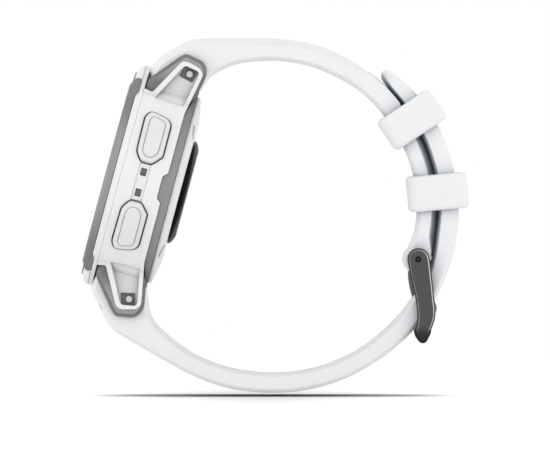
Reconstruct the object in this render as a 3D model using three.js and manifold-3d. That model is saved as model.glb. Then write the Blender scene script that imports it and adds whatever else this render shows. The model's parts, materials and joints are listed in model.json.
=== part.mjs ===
// A small GPS running watch standing on its buckled strap. Millimetres, +Z up.
//
// Watch frame: the origin is the middle of the wrist space, the display faces -X, 12 o'clock is up and
// the 3 o'clock side faces -Y. The case leans by CASE_TILT.
// Case frame (the leaning group): X is the depth behind the front plane, Z points to 12 o'clock and
// -Y is still the 3 o'clock side. Profiles below are [depth, height] or [x, z] pairs.

import * as THREE from 'three';
import { mergeVertices } from 'three/addons/utils/BufferGeometryUtils.js';
import Module from 'manifold-3d';

const kernel = await Module();
kernel.setup();

// ---------------------------------------------------------------------------------------------
// Driving dimensions
// ---------------------------------------------------------------------------------------------

const CASE_TILT = THREE.MathUtils.degToRad(15.1);
const CASE_POSITION = new THREE.Vector3(-32.285, 0, 6.055); // centre of the front plane

const SEAM = 0.25; // gap left between two pieces that meet
const HALF_SEAM = SEAM / 2;
const BEYOND = 25; // half size of a cutting block that reaches past the case

// Rounds about the case axis
const BEZEL_RADIUS = 20;
const GLASS_RADIUS = 15;
const BEZEL_OPENING_RADIUS = 15.3;
const CAP_INNER_RADIUS = 18.3; // the grey caps lie outside this radius
const CAP_SLOT_HALF_HEIGHT = 17.8; // the bezel is cut away for the caps up to this height
const PLATE_INNER_RADIUS = 18.6;
const CORE_RADIUS = 18.3;
const CAVITY_RADIUS = 15.2;
const BACK_OPENING_RADIUS = 12.2;
const BAND_RADIUS = 19.7;
const COVER_RADIUS = 17;
const GASKET_GROOVE = { inner: 12.7, outer: 13.8 };

// Depths behind the front plane
const CAP_SEAM_DEPTH = 1.35; // lower edge of the grey caps in their middle
const BEZEL_SEAM_DEPTH = 1.85; // lower edge of the white bezel
const RING_SEAM_DEPTH = 2.6; // bezel ring to side plate
const BAND_SEAM_DEPTH = 10.55; // side plate to back band
const COVER_SEAM_DEPTH = 11.95; // back band to back cover
const COVER_BACK_DEPTH = 13.35;
const SENSOR_BACK_DEPTH = 14.7;

// Lugs
const LUG_INNER_Y = 10.3; // half the gap between the lugs
const LUG_OUTER_Y = 11.4;
const FRAME_INNER_Y = LUG_OUTER_Y + 0.3; // white lug frame, part of the side plate
const FRAME_OUTER_Y = 12.9;
const POCKET_FLOOR_Y = 12.1;
const BAR_DEPTH = 9.6;
const BAR_HEIGHT = 20.5;
const BODY_FLAT_HEIGHT = 17; // the core is cut flat here, between the lugs

// Buttons, laid out about the case axis
const RIGHT_BUTTON_ANGLES = [23.1, -23.1]; // degrees above 3 o'clock
const LEFT_BUTTON_ANGLES = [30, 0, -30]; // degrees above 9 o'clock
const LEFT_BUTTON_LENGTH = 0.76; // of a right button's length
const BUTTON_DEPTH = 6.5; // centre of the stem
const BUTTON_RADIUS = 20.6; // outer face of a button, from the case axis
const BUTTON_EDGE_RADIUS = 20; // where the button's front is bevelled off at its two ends
const BUTTON_BACK_RADIUS = 19.2;
const PAD_RADIUS = 20.75; // raised middle of a button
const PAD_MARGIN = 1; // from the edge of the button to its raised middle
const STEM_RADIUS = 0.7;
const STEM_HOLE_RADIUS = 1;
const STEM_END_RADIUS = 14.7;
const SPRING_POCKET_RADIUS = 1.9;
const SPRING_POCKET_FLOOR = 15.9;
const BUTTON_SPRING = { radius: 1.4, wireRadius: 0.12, turns: 2.5 };
const SEAL = { inner: 1, outer: 1.6, top: 16.6, bottom: 16 };

// Screws of the back cover
const SCREW_CIRCLE_RADIUS = 15.2;
const SCREW_ANGLES = [45, 135, 225, 315];
const SCREW_HEAD_RADIUS = 1.2;
const SCREW_SHANK_RADIUS = 0.7;
const SCREW_DRIVE_RADIUS = 0.5;
const SCREW_PILLAR_RADIUS = 1.9;
const SCREW_CLEARANCE = 0.3;

// Parts inside the case: radii, and depths from front to back
const DISPLAY_PANEL_RADIUS = 12.9;
const DISPLAY_GASKET = { inner: 13.5, outer: 14.8 };
const ANTENNA = { inner: 13.4, outer: 14.9, gapHalfWidth: 3 };
const BOARD = { radius: 14, front: 4.4, back: 5.3, canFront: 3.5 };
const BATTERY = { front: 5.9, back: 10.1, yLow: -9.5, yHigh: 5.9, halfHeight: 8.2 };
const MOTOR = { radius: 3.6, front: 6, back: 8.8, y: 10.3 };

// Heart rate sensor and charging port
const SENSOR_NECK_RADIUS = 4.7;
const SENSOR_RIM = { inner: 7.7, outer: 9.3 };
const SENSOR_LENS_RADIUS = 7.4;
const PORT_HEIGHT = -11.4; // centre of the charging port, towards 6 o'clock
const PORT_HALF_WIDTH = 3.5;
const PORT_HALF_HEIGHT = 1.3;
const PORT_CLEARANCE = 0.3;
const CONTACT_PITCH = 1.5;
const CONTACT_RADIUS = 0.38;
const CONTACT_HOLE_RADIUS = 0.6;

// Spring bars
const TUBE = { radius: 1.25, bore: 0.95, mouth: 0.72, halfLength: 9.8, lip: 0.8 };
const TIP = { radius: 0.62, collarRadius: 0.85, start: 7, collarEnd: 8.9, end: 12 };
const BAR_SPRING = { radius: 0.66, wireRadius: 0.14, halfLength: 6.85, turns: 4 };
const LUG_HOLE_RADIUS = 0.95;
const STRAP_BORE_RADIUS = 1.55;

// Strap: both layers are arcs about ARC_CENTRE where they lie on each other
const ARC_CENTRE = { x: -1.65, z: 0.08 };
const STRAP_HALF_WIDTH_AT_LUGS = 9.9;
const STRAP_HALF_WIDTH = 9;
const STRAP_CORNER = 1.05;
const HOLE_PITCH = 6.6;
const HOLE_LENGTH = 5.2;
const HOLE_WIDTH = 2.4;
const HOLES_BELOW_BUCKLE = 5;
const HOLES_ABOVE_BUCKLE = 5;
const BUCKLED_HOLE = { x: 22.85, z: -17.16 }; // where the tongue crosses the middle of the holed strap

// Buckle
const PIN = { x: 22.53, z: -9.23 };
const EAR_INNER_Y = 9.4;
const EAR_OUTER_Y = 11;
const EAR_TOP_RADIUS = 1.9;
const TONGUE_HALF_WIDTH = 0.8;
const TONGUE_THICKNESS = 0.9;
const TONGUE_SLOT_HALF_WIDTH = 1.25;
const TONGUE_RING_RADIUS = 1.6;
const TONGUE_BORE_RADIUS = 0.85;
const PIN_RADIUS = 0.75;
const PIN_END_RADIUS = 0.45;
const PIN_BODY_HALF_LENGTH = 9.15;
const PIN_HALF_LENGTH = 10.85;
const STRAP_PIN_BORE_RADIUS = 1.05;
const KNUCKLE = { radius: 2.3, x: 22.15, z: -9.35 }; // the strap's rolled end round the pin
const TONGUE_SLOT = { xLow: 18.5, xHigh: 25.6, zLow: -12.5, zHigh: -6.9 };

// Facets of the rounds
const CASE_FACETS = 48;
const CORE_FACETS = 36;
const RING_FACETS = 28;
const SMALL_FACETS = 12;
const TINY_FACETS = 8;

// ---------------------------------------------------------------------------------------------
// Finishes
// ---------------------------------------------------------------------------------------------

function finish(color, roughness, metalness = 0) {
  return () => new THREE.MeshStandardMaterial({ color, roughness, metalness });
}

const whitePlastic = finish(0xececec, 0.45);
const whiteSilicone = finish(0xe9e9e9, 0.7);
const greyPolymer = finish(0x8c8c8c, 0.5);
const darkSteel = finish(0x5a5a58, 0.35, 0.85);
const brightSteel = finish(0xd2d5d7, 0.3, 0.9);
const blackGlass = finish(0x08080a, 0.08);
const clearGlass = finish(0x20242a, 0.05);
const darkPlastic = finish(0x5c5c5c, 0.35);
const displayGreen = finish(0xaab0a4, 0.4);
const blackRubber = finish(0x202020, 0.8);
const boardGreen = finish(0x1f5a3a, 0.55);
const batteryFoil = finish(0xb8bcc0, 0.35, 0.6);
const goldContact = finish(0xd4af5a, 0.25, 1);

// ---------------------------------------------------------------------------------------------
// Solids
// ---------------------------------------------------------------------------------------------

// Merges the vertices, drops empty triangles and turns the faces outwards.
function closed(geometry) {
  const plain = geometry.clone();
  plain.deleteAttribute('normal');
  plain.deleteAttribute('uv');
  const merged = mergeVertices(plain, 1e-4);
  const positions = merged.attributes.position;
  const corner = [new THREE.Vector3(), new THREE.Vector3(), new THREE.Vector3()];
  const triangles = [];
  let volume = 0;
  for (let i = 0; i < merged.index.count; i += 3) {
    const [a, b, c] = [0, 1, 2].map((k) => merged.index.getX(i + k));
    if (a === b || b === c || c === a) continue;
    triangles.push([a, b, c]);
    [a, b, c].forEach((vertex, k) => corner[k].fromBufferAttribute(positions, vertex));
    volume += corner[0].dot(corner[1].cross(corner[2])) / 6;
  }
  const turnedOut = volume > 0 ? triangles : triangles.map(([a, b, c]) => [a, c, b]);
  const result = new THREE.BufferGeometry();
  result.setAttribute('position', positions);
  result.setIndex(turnedOut.flat());
  return result;
}

function solidOf(geometry) {
  const vertProperties = geometry.attributes.position.array;
  const triVerts = Uint32Array.from(geometry.index.array);
  return new kernel.Manifold(new kernel.Mesh({ numProp: 3, vertProperties, triVerts }));
}

function geometryOf(solid) {
  const mesh = solid.getMesh();
  const geometry = new THREE.BufferGeometry();
  geometry.setAttribute('position', new THREE.BufferAttribute(mesh.vertProperties, 3));
  geometry.setIndex(new THREE.BufferAttribute(mesh.triVerts, 1));
  return geometry;
}

function joined(...geometries) {
  return geometryOf(geometries.map(solidOf).reduce((whole, next) => whole.add(next)));
}

function cut(geometry, ...tools) {
  return geometryOf(tools.map(solidOf).reduce((whole, next) => whole.subtract(next), solidOf(geometry)));
}

function common(...geometries) {
  return geometryOf(geometries.map(solidOf).reduce((whole, next) => whole.intersect(next)));
}

// ---------------------------------------------------------------------------------------------
// Basic forms
// ---------------------------------------------------------------------------------------------

function extruded(points, depth) {
  const shape = new THREE.Shape(points.map(([a, b]) => new THREE.Vector2(a, b)));
  return new THREE.ExtrudeGeometry(shape, { depth, bevelEnabled: false });
}

// A profile of [x, z] points, extruded along Y.
function slabAcross(points, yLow, yHigh) {
  const geometry = extruded(points, yHigh - yLow);
  geometry.rotateX(Math.PI / 2);
  geometry.translate(0, yHigh, 0);
  return closed(geometry);
}

// An outline of [y, z] points, extruded along X.
function slabAlong(points, xLow, xHigh) {
  const geometry = extruded(points, xHigh - xLow);
  geometry.applyMatrix4(new THREE.Matrix4().set(0, 0, 1, xLow, 1, 0, 0, 0, 0, 1, 0, 0, 0, 0, 0, 1));
  return closed(geometry);
}

// A profile of [radius, depth] points, turned about the case axis X.
function turned(points, facets = CASE_FACETS) {
  const geometry = new THREE.LatheGeometry(points.map(([r, d]) => new THREE.Vector2(r, d)), facets);
  geometry.rotateZ(-Math.PI / 2);
  return closed(geometry);
}

// A ring of rectangular section about the case axis.
function turnedRing(inner, outer, front, back, facets = CASE_FACETS) {
  return turned([[inner, front], [outer, front], [outer, back], [inner, back], [inner, front]], facets);
}

function disc(radius, front, back, facets = RING_FACETS) {
  return turned([[0, front], [radius, front], [radius, back], [0, back]], facets);
}

// A profile of [radius, y] points, turned about an axis along Y.
function turnedAcross(points, facets = SMALL_FACETS) {
  return closed(new THREE.LatheGeometry(points.map(([r, y]) => new THREE.Vector2(r, y)), facets));
}

function rodAcross(radius, yLow, yHigh, x, z, facets = SMALL_FACETS) {
  const geometry = new THREE.CylinderGeometry(radius, radius, yHigh - yLow, facets);
  geometry.translate(x, (yLow + yHigh) / 2, z);
  return closed(geometry);
}

function rodAlong(radius, xLow, xHigh, y, z, facets = SMALL_FACETS) {
  const geometry = new THREE.CylinderGeometry(radius, radius, xHigh - xLow, facets);
  geometry.rotateZ(-Math.PI / 2);
  geometry.translate((xLow + xHigh) / 2, y, z);
  return closed(geometry);
}

function box(xLow, xHigh, yLow, yHigh, zLow, zHigh) {
  const geometry = new THREE.BoxGeometry(xHigh - xLow, yHigh - yLow, zHigh - zLow);
  geometry.translate((xLow + xHigh) / 2, (yLow + yHigh) / 2, (zLow + zHigh) / 2);
  return closed(geometry);
}

// Joins rings of equal point counts into one closed skin with flat ends.
function lofted(rings) {
  const sides = rings[0].length;
  const positions = rings.flat().flatMap((point) => [point.x, point.y, point.z]);
  const triangles = [];
  for (let ring = 0; ring + 1 < rings.length; ring += 1) {
    for (let side = 0; side < sides; side += 1) {
      const a = ring * sides + side;
      const b = ring * sides + ((side + 1) % sides);
      triangles.push(a, b, b + sides, a, b + sides, a + sides);
    }
  }
  const last = (rings.length - 1) * sides;
  for (let side = 1; side + 1 < sides; side += 1) {
    triangles.push(0, side + 1, side);
    triangles.push(last, last + side, last + side + 1);
  }
  const geometry = new THREE.BufferGeometry();
  geometry.setAttribute('position', new THREE.Float32BufferAttribute(positions, 3));
  geometry.setIndex(triangles);
  return closed(geometry);
}

// A helical spring about the Y axis, from yLow to yHigh: an unbroken wire.
function coilSpring({ radius, wireRadius, turns }, yLow, yHigh) {
  const stepsPerTurn = 8;
  const wireSides = 4;
  const rings = [];
  for (let step = 0; step <= turns * stepsPerTurn; step += 1) {
    const share = step / (turns * stepsPerTurn);
    const angle = (step / stepsPerTurn) * 2 * Math.PI;
    const y = yLow + wireRadius + share * (yHigh - yLow - 2 * wireRadius);
    const ring = [];
    for (let side = 0; side < wireSides; side += 1) {
      const around = (side / wireSides) * 2 * Math.PI;
      const reach = radius + wireRadius * Math.cos(around);
      const rise = wireRadius * Math.sin(around);
      ring.push(new THREE.Vector3(reach * Math.cos(angle), y + rise, reach * Math.sin(angle)));
    }
    rings.push(ring);
  }
  return lofted(rings);
}

// ---------------------------------------------------------------------------------------------
// Outline helpers
// ---------------------------------------------------------------------------------------------

// Mirrors a half outline that runs from the middle upwards, so that it closes below.
function bothHalves(half) {
  return [...half, ...half.map(([a, b]) => [a, -b]).reverse()];
}

function mirroredHeight(points) {
  return points.map(([a, b]) => [a, -b]);
}

// Moves every side of an outline outwards by about the margin, by scaling it about its middle.
function grown(points, margin) {
  const range = (k) => [Math.min(...points.map((p) => p[k])), Math.max(...points.map((p) => p[k]))];
  const [lowA, highA] = range(0);
  const [lowB, highB] = range(1);
  const scaleA = 1 + (2 * margin) / (highA - lowA);
  const scaleB = 1 + (2 * margin) / (highB - lowB);
  const midA = (lowA + highA) / 2;
  const midB = (lowB + highB) / 2;
  return points.map(([a, b]) => [midA + (a - midA) * scaleA, midB + (b - midB) * scaleB]);
}

function arc(centreA, centreB, radius, fromDegrees, toDegrees, steps) {
  return Array.from({ length: steps + 1 }, (_, i) => {
    const angle = THREE.MathUtils.degToRad(fromDegrees + ((toDegrees - fromDegrees) * i) / steps);
    return [centreA + radius * Math.cos(angle), centreB + radius * Math.sin(angle)];
  });
}

// ---------------------------------------------------------------------------------------------
// Groups
// ---------------------------------------------------------------------------------------------

const watch = new THREE.Group();
const caseGroup = new THREE.Group();
caseGroup.position.copy(CASE_POSITION);
caseGroup.rotation.y = CASE_TILT;
watch.add(caseGroup);

function place(group, name, geometry, material) {
  const mesh = new THREE.Mesh(geometry, material());
  mesh.name = name;
  group.add(mesh);
  return mesh;
}

// A point of the case frame as an [x, z] pair of the watch frame.
function onCase(depth, height) {
  const x = CASE_POSITION.x + depth * Math.cos(CASE_TILT) + height * Math.sin(CASE_TILT);
  const z = CASE_POSITION.z - depth * Math.sin(CASE_TILT) + height * Math.cos(CASE_TILT);
  return [x, z];
}

// A point at a radius and an angle about the strap's arc centre, as an [x, z] pair.
function onArc(radius, degrees) {
  const angle = THREE.MathUtils.degToRad(degrees);
  return [ARC_CENTRE.x + radius * Math.cos(angle), ARC_CENTRE.z + radius * Math.sin(angle)];
}

// ---------------------------------------------------------------------------------------------
// Buttons: shared outlines and their openings
// ---------------------------------------------------------------------------------------------

// Middle of the gap round a right button: [depth, along the case's round].
// The upper end is the one away from the middle of the case.
const BUTTON_GAP_OUTLINE = [
  [4.0, 3.9], [4.6, 5.0], [5.1, 5.25], [6.5, 5.0], [8.2, 4.5], [8.9, 3.55],
  [8.95, -2.7], [8.8, -3.0], [7.5, -4.55], [7.2, -4.7], [5.3, -4.7], [4.1, -3.0],
];

// Each button turns about the case axis to its place; in its own frame it faces -Y.
const buttons = [
  ...RIGHT_BUTTON_ANGLES.map((angle, i) => ({
    name: ['start_button', 'back_button'][i],
    turn: THREE.MathUtils.degToRad(-angle),
    outline: angle > 0 ? BUTTON_GAP_OUTLINE : mirroredHeight(BUTTON_GAP_OUTLINE),
  })),
  ...LEFT_BUTTON_ANGLES.map((angle, i) => ({
    name: ['light_button', 'up_button', 'down_button'][i],
    turn: Math.PI + THREE.MathUtils.degToRad(angle),
    outline: (angle > 0 ? mirroredHeight(BUTTON_GAP_OUTLINE) : BUTTON_GAP_OUTLINE)
      .map(([depth, along]) => [depth, along * LEFT_BUTTON_LENGTH]),
  })),
];

function buttonOpening(button) {
  return slabAcross(grown(button.outline, HALF_SEAM), -BEYOND, -17.5).rotateX(button.turn);
}

function springPocket(button) {
  const mouth = -BUTTON_BACK_RADIUS + 0.2;
  return rodAcross(SPRING_POCKET_RADIUS, mouth, -SPRING_POCKET_FLOOR, BUTTON_DEPTH, 0).rotateX(button.turn);
}

function stemHole(button) {
  const yLow = -SPRING_POCKET_FLOOR - 0.5;
  return rodAcross(STEM_HOLE_RADIUS, yLow, -CAVITY_RADIUS + 1.2, BUTTON_DEPTH, 0).rotateX(button.turn);
}

function buildButtons() {
  for (const button of buttons) {
    const group = new THREE.Group();
    group.rotation.x = button.turn;
    caseGroup.add(group);

    const capBlock = slabAcross(grown(button.outline, -HALF_SEAM), -BEYOND, -18);
    const capSkin = turned([
      [BUTTON_BACK_RADIUS, 3], [BUTTON_EDGE_RADIUS, 3], [BUTTON_RADIUS, 4.8], [BUTTON_RADIUS, 8.2],
      [BUTTON_EDGE_RADIUS, 10], [BUTTON_BACK_RADIUS, 10], [BUTTON_BACK_RADIUS, 3],
    ]);
    const padBlock = slabAcross(grown(button.outline, -PAD_MARGIN), -BEYOND, -19.5);
    const pad = common(padBlock, turnedRing(BUTTON_BACK_RADIUS + 0.4, PAD_RADIUS, 3, 10));
    const stem = rodAcross(STEM_RADIUS, -BUTTON_BACK_RADIUS - 0.3, -STEM_END_RADIUS, BUTTON_DEPTH, 0);
    place(group, button.name, joined(common(capBlock, capSkin), pad, stem), whitePlastic);

    const sealRing = turnedAcross([
      [SEAL.inner, -SEAL.top], [SEAL.outer, -SEAL.top], [SEAL.outer, -SEAL.bottom],
      [SEAL.inner, -SEAL.bottom], [SEAL.inner, -SEAL.top],
    ]);
    const seal = place(group, `${button.name}_seal`, sealRing, blackRubber);
    seal.position.x = BUTTON_DEPTH;

    const springCoil = coilSpring(BUTTON_SPRING, -BUTTON_BACK_RADIUS + 0.15, -SEAL.top - 0.15);
    const spring = place(group, `${button.name}_spring`, springCoil, brightSteel);
    spring.position.x = BUTTON_DEPTH;
  }
}

// ---------------------------------------------------------------------------------------------
// Middle case: core, back band, four lugs
// ---------------------------------------------------------------------------------------------

const CORE_FRONT_DEPTH = RING_SEAM_DEPTH + 0.2;
const BAND_FRONT_DEPTH = BAND_SEAM_DEPTH + HALF_SEAM;
const BAND_BACK_DEPTH = COVER_SEAM_DEPTH - HALF_SEAM;

const LUG_OUTLINE = [
  [CORE_FRONT_DEPTH, 11], [CORE_FRONT_DEPTH, 16.2], [2.9, 17.9], [7.2, 23], [8, 23.7], [8.5, 23.8],
  [11.3, 23.3], [12.2, 22.3], [12.6, 20.9], [12.5, 20], [10.6, 13.5], [10.6, 11],
];

function buildMiddleCase() {
  const core = turned([
    [0, CORE_FRONT_DEPTH], [CORE_RADIUS, CORE_FRONT_DEPTH],
    [CORE_RADIUS, BAND_BACK_DEPTH], [0, BAND_BACK_DEPTH],
  ], CORE_FACETS);
  const flatEnds = box(0, 15, -BEYOND, BEYOND, -BODY_FLAT_HEIGHT, BODY_FLAT_HEIGHT);
  const bandProfile = bothHalves([[BAND_FRONT_DEPTH, 13.3], [BAND_BACK_DEPTH, 16.4]].reverse());
  const band = common(slabAcross(bandProfile, -BEYOND, BEYOND), disc(BAND_RADIUS, 10, 12, CASE_FACETS));
  const tabProfile = [[10.8, 2.5], [9.85, 1.9], [9.85, -1.9], [10.8, -2.5]];
  const tab = common(slabAcross(tabProfile, -BEYOND, BEYOND), disc(BAND_RADIUS, 9, 12, CASE_FACETS));

  const lugs = [LUG_OUTLINE, mirroredHeight(LUG_OUTLINE)].flatMap((outline) => [
    slabAcross(outline, -LUG_OUTER_Y, -LUG_INNER_Y),
    slabAcross(outline, LUG_INNER_Y, LUG_OUTER_Y),
  ]);

  const cavity = disc(CAVITY_RADIUS, 0, BAND_FRONT_DEPTH - 0.2, CORE_FACETS);
  const backOpening = disc(BACK_OPENING_RADIUS, 5, 15);
  const gasketGroove = turnedRing(GASKET_GROOVE.inner, GASKET_GROOVE.outer, 11.1, 12.5, RING_FACETS);
  const barHoles = [BAR_HEIGHT, -BAR_HEIGHT]
    .map((z) => rodAcross(LUG_HOLE_RADIUS, -15, 15, BAR_DEPTH, z));
  const pillars = screwPlaces()
    .map(({ y, z }) => rodAlong(SCREW_PILLAR_RADIUS, 7, BAND_BACK_DEPTH, y, z, TINY_FACETS));
  const screwHoles = screwPlaces()
    .map(({ y, z }) => rodAlong(SCREW_SHANK_RADIUS + SEAM, 8, 13, y, z, TINY_FACETS));

  const shell = cut(joined(common(core, flatEnds), band, tab, ...lugs), cavity, backOpening);
  const finished = cut(
    joined(shell, ...pillars),
    gasketGroove, ...barHoles, ...screwHoles, ...buttons.map(springPocket), ...buttons.map(stemHole),
  );
  place(caseGroup, 'middle_case', finished, greyPolymer);
}

function screwPlaces() {
  return SCREW_ANGLES.map((degrees) => {
    const angle = THREE.MathUtils.degToRad(degrees);
    return { y: SCREW_CIRCLE_RADIUS * Math.cos(angle), z: SCREW_CIRCLE_RADIUS * Math.sin(angle) };
  });
}

// ---------------------------------------------------------------------------------------------
// Side plates: the white sides, with the frames over the lugs
// ---------------------------------------------------------------------------------------------

const PLATE_PROFILE = bothHalves([
  [9.75, 2], [BAND_SEAM_DEPTH - HALF_SEAM, 2.6], [BAND_SEAM_DEPTH - HALF_SEAM, 13.5],
  [11.8, 20.2], [11.9, 21], [11.2, 21.9], [9, 22.5], [8.2, 22.5], [7.6, 22.1], [4.1, 15.95],
  [RING_SEAM_DEPTH + HALF_SEAM, 15.6],
].reverse());

const POCKET_OUTLINE = [[5.5, 16.4], [8.3, 21.4], [8.7, 21.7], [10.9, 21.3], [11.2, 20.8], [10.1, 15.4]];
const SOCKET_OUTLINE = [[8, 19.9], [8.6, 21.6], [11, 21.2], [10.3, 19.2]];

// The right plate's outline from the front, [y, z]: the case's round, then straight over the lugs.
function plateOutline() {
  const frameEnd = 24;
  const outerAngle = THREE.MathUtils.radToDeg(Math.acos(FRAME_OUTER_Y / BEZEL_RADIUS));
  const innerAngle = THREE.MathUtils.radToDeg(Math.acos(FRAME_INNER_Y / PLATE_INNER_RADIUS));
  const outerArc = arc(0, 0, BEZEL_RADIUS, 180 - outerAngle, 180 + outerAngle, 22);
  const innerArc = arc(0, 0, PLATE_INNER_RADIUS, 180 + innerAngle, 180 - innerAngle, 22);
  return [
    [-FRAME_OUTER_Y, frameEnd], ...outerArc, [-FRAME_OUTER_Y, -frameEnd],
    [-FRAME_INNER_Y, -frameEnd], ...innerArc, [-FRAME_INNER_Y, frameEnd],
  ];
}

function sidePlateBlank() {
  const blank = common(slabAlong(plateOutline(), 0, 15), slabAcross(PLATE_PROFILE, -BEYOND, 0));
  const pockets = [POCKET_OUTLINE, mirroredHeight(POCKET_OUTLINE)]
    .map((outline) => slabAcross(outline, -BEYOND, -POCKET_FLOOR_Y));
  const sockets = [SOCKET_OUTLINE, mirroredHeight(SOCKET_OUTLINE)]
    .map((outline) => slabAcross(outline, -BEYOND, -5));
  return cut(blank, ...pockets, ...sockets);
}

const CHANNEL_HALF_HEIGHT = 4.3; // the shallow channel between the two right buttons
const VENT_HEIGHTS = [1.8, -1.9]; // the two small openings in the channel
const VENT_HALF_HEIGHT = 0.65;

function buildSidePlates() {
  const facingRight = (button) => Math.cos(button.turn) > 0;
  const channelSkin = turnedRing(BEZEL_RADIUS - 0.3, BEZEL_RADIUS + 1, 5.2, 7.3);
  const channel = common(channelSkin, box(0, 15, -BEYOND, 0, -CHANNEL_HALF_HEIGHT, CHANNEL_HALF_HEIGHT));
  const vents = VENT_HEIGHTS
    .map((z) => box(5.8, 6.8, -BEYOND, -5, z - VENT_HALF_HEIGHT, z + VENT_HALF_HEIGHT));
  const rightOpenings = buttons.filter(facingRight).map(buttonOpening);
  const right = cut(sidePlateBlank(), ...rightOpenings, channel, ...vents);
  place(caseGroup, 'side_plate_right', right, whitePlastic);

  const leftOpenings = buttons.filter((button) => !facingRight(button)).map(buttonOpening);
  const left = cut(sidePlateBlank().rotateX(Math.PI), ...leftOpenings);
  place(caseGroup, 'side_plate_left', left, whitePlastic);
}

// ---------------------------------------------------------------------------------------------
// Bezel: white ring with a grey cap on each side, over the bezel ring
// ---------------------------------------------------------------------------------------------

const CAP_PROFILE = bothHalves([
  [CAP_SEAM_DEPTH - HALF_SEAM, 14.2], [BEZEL_SEAM_DEPTH - HALF_SEAM, 15.2],
  [BEZEL_SEAM_DEPTH - HALF_SEAM, 17.5], [1, 17.55], [0.6, 17.3], [0.3, 16.6], [-0.15, 16],
].reverse());

const RING_FRONT_DEPTH = BEZEL_SEAM_DEPTH + HALF_SEAM;
const RING_BACK_DEPTH = RING_SEAM_DEPTH - HALF_SEAM;

function buildBezel() {
  const bezelRing = turned([
    [BEZEL_OPENING_RADIUS, 0.6], [16.2, 0], [18.3, 0.2], [19.4, 0.75], [BEZEL_RADIUS, 1.5],
    [BEZEL_RADIUS, BEZEL_SEAM_DEPTH - HALF_SEAM], [BEZEL_OPENING_RADIUS, BEZEL_SEAM_DEPTH - HALF_SEAM],
    [BEZEL_OPENING_RADIUS, 0.6],
  ]);
  const capSlots = common(
    box(-1, 3, -BEYOND, BEYOND, -CAP_SLOT_HALF_HEIGHT, CAP_SLOT_HALF_HEIGHT),
    turnedRing(CAP_INNER_RADIUS - SEAM, BEZEL_RADIUS + 2, -1, 3),
  );
  place(caseGroup, 'bezel', cut(bezelRing, capSlots), whitePlastic);

  const capBand = turned([
    [CAP_INNER_RADIUS, 0.1], [18.6, -0.15], [19.5, -0.15], [BEZEL_RADIUS, 0.35], [BEZEL_RADIUS, 2.5],
    [CAP_INNER_RADIUS, 2.5], [CAP_INNER_RADIUS, 0.1],
  ]);
  const caps = { bezel_cap_right: [-BEYOND, 0], bezel_cap_left: [0, BEYOND] };
  for (const [name, [yLow, yHigh]] of Object.entries(caps)) {
    place(caseGroup, name, common(capBand, slabAcross(CAP_PROFILE, yLow, yHigh)), greyPolymer);
  }

  const flatRing = turnedRing(13.2, BEZEL_RADIUS, RING_FRONT_DEPTH, RING_BACK_DEPTH);
  const rise = turnedRing(PLATE_INNER_RADIUS, BEZEL_RADIUS, CAP_SEAM_DEPTH + HALF_SEAM, RING_BACK_DEPTH);
  const riseProfile = bothHalves([[0, 13.9], [2.2, 14.6]].reverse());
  const rises = common(rise, slabAcross(riseProfile, -BEYOND, BEYOND));
  place(caseGroup, 'bezel_ring', joined(flatRing, rises), whitePlastic);
}

// ---------------------------------------------------------------------------------------------
// Display and the parts inside the case
// ---------------------------------------------------------------------------------------------

function buildDisplay() {
  place(caseGroup, 'display_glass', disc(GLASS_RADIUS, 0.3, 1.2, CORE_FACETS), clearGlass);
  const gasket = turnedRing(DISPLAY_GASKET.inner, DISPLAY_GASKET.outer, 1.42, 1.75, RING_FACETS);
  place(caseGroup, 'display_gasket', gasket, blackRubber);
  place(caseGroup, 'display_panel', disc(DISPLAY_PANEL_RADIUS, 1.45, 3.1), displayGreen);
}

function buildInside() {
  const antennaRing = turnedRing(ANTENNA.inner, ANTENNA.outer, 3.4, 4.1, RING_FACETS);
  const antennaGap = box(0, 15, -ANTENNA.gapHalfWidth, ANTENNA.gapHalfWidth, -20, 0);
  place(caseGroup, 'gps_antenna', cut(antennaRing, antennaGap), goldContact);

  const board = disc(BOARD.radius, BOARD.front, BOARD.back);
  const shieldCans = [
    box(BOARD.canFront, BOARD.front + 0.2, -8, 1, -6, 5),
    box(BOARD.canFront, BOARD.front + 0.2, 3, 9, -5, 4),
  ];
  place(caseGroup, 'main_board', joined(board, ...shieldCans), boardGreen);

  const { front, back, yLow, yHigh, halfHeight } = BATTERY;
  place(caseGroup, 'battery', box(front, back, yLow, yHigh, -halfHeight, halfHeight), batteryFoil);
  const motor = rodAlong(MOTOR.radius, MOTOR.front, MOTOR.back, MOTOR.y, 0);
  place(caseGroup, 'vibration_motor', motor, brightSteel);
}

// ---------------------------------------------------------------------------------------------
// Back: cover, screws, sensor, charging port
// ---------------------------------------------------------------------------------------------

function contactPlaces() {
  return [-1.5, -0.5, 0.5, 1.5].map((step) => step * CONTACT_PITCH);
}

// The charging port's block between two depths, larger by the margin on its four sides.
function portBlock(front, back, margin) {
  const halfWidth = PORT_HALF_WIDTH + margin;
  const halfHeight = PORT_HALF_HEIGHT + margin;
  return box(front, back, -halfWidth, halfWidth, PORT_HEIGHT - halfHeight, PORT_HEIGHT + halfHeight);
}

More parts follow.
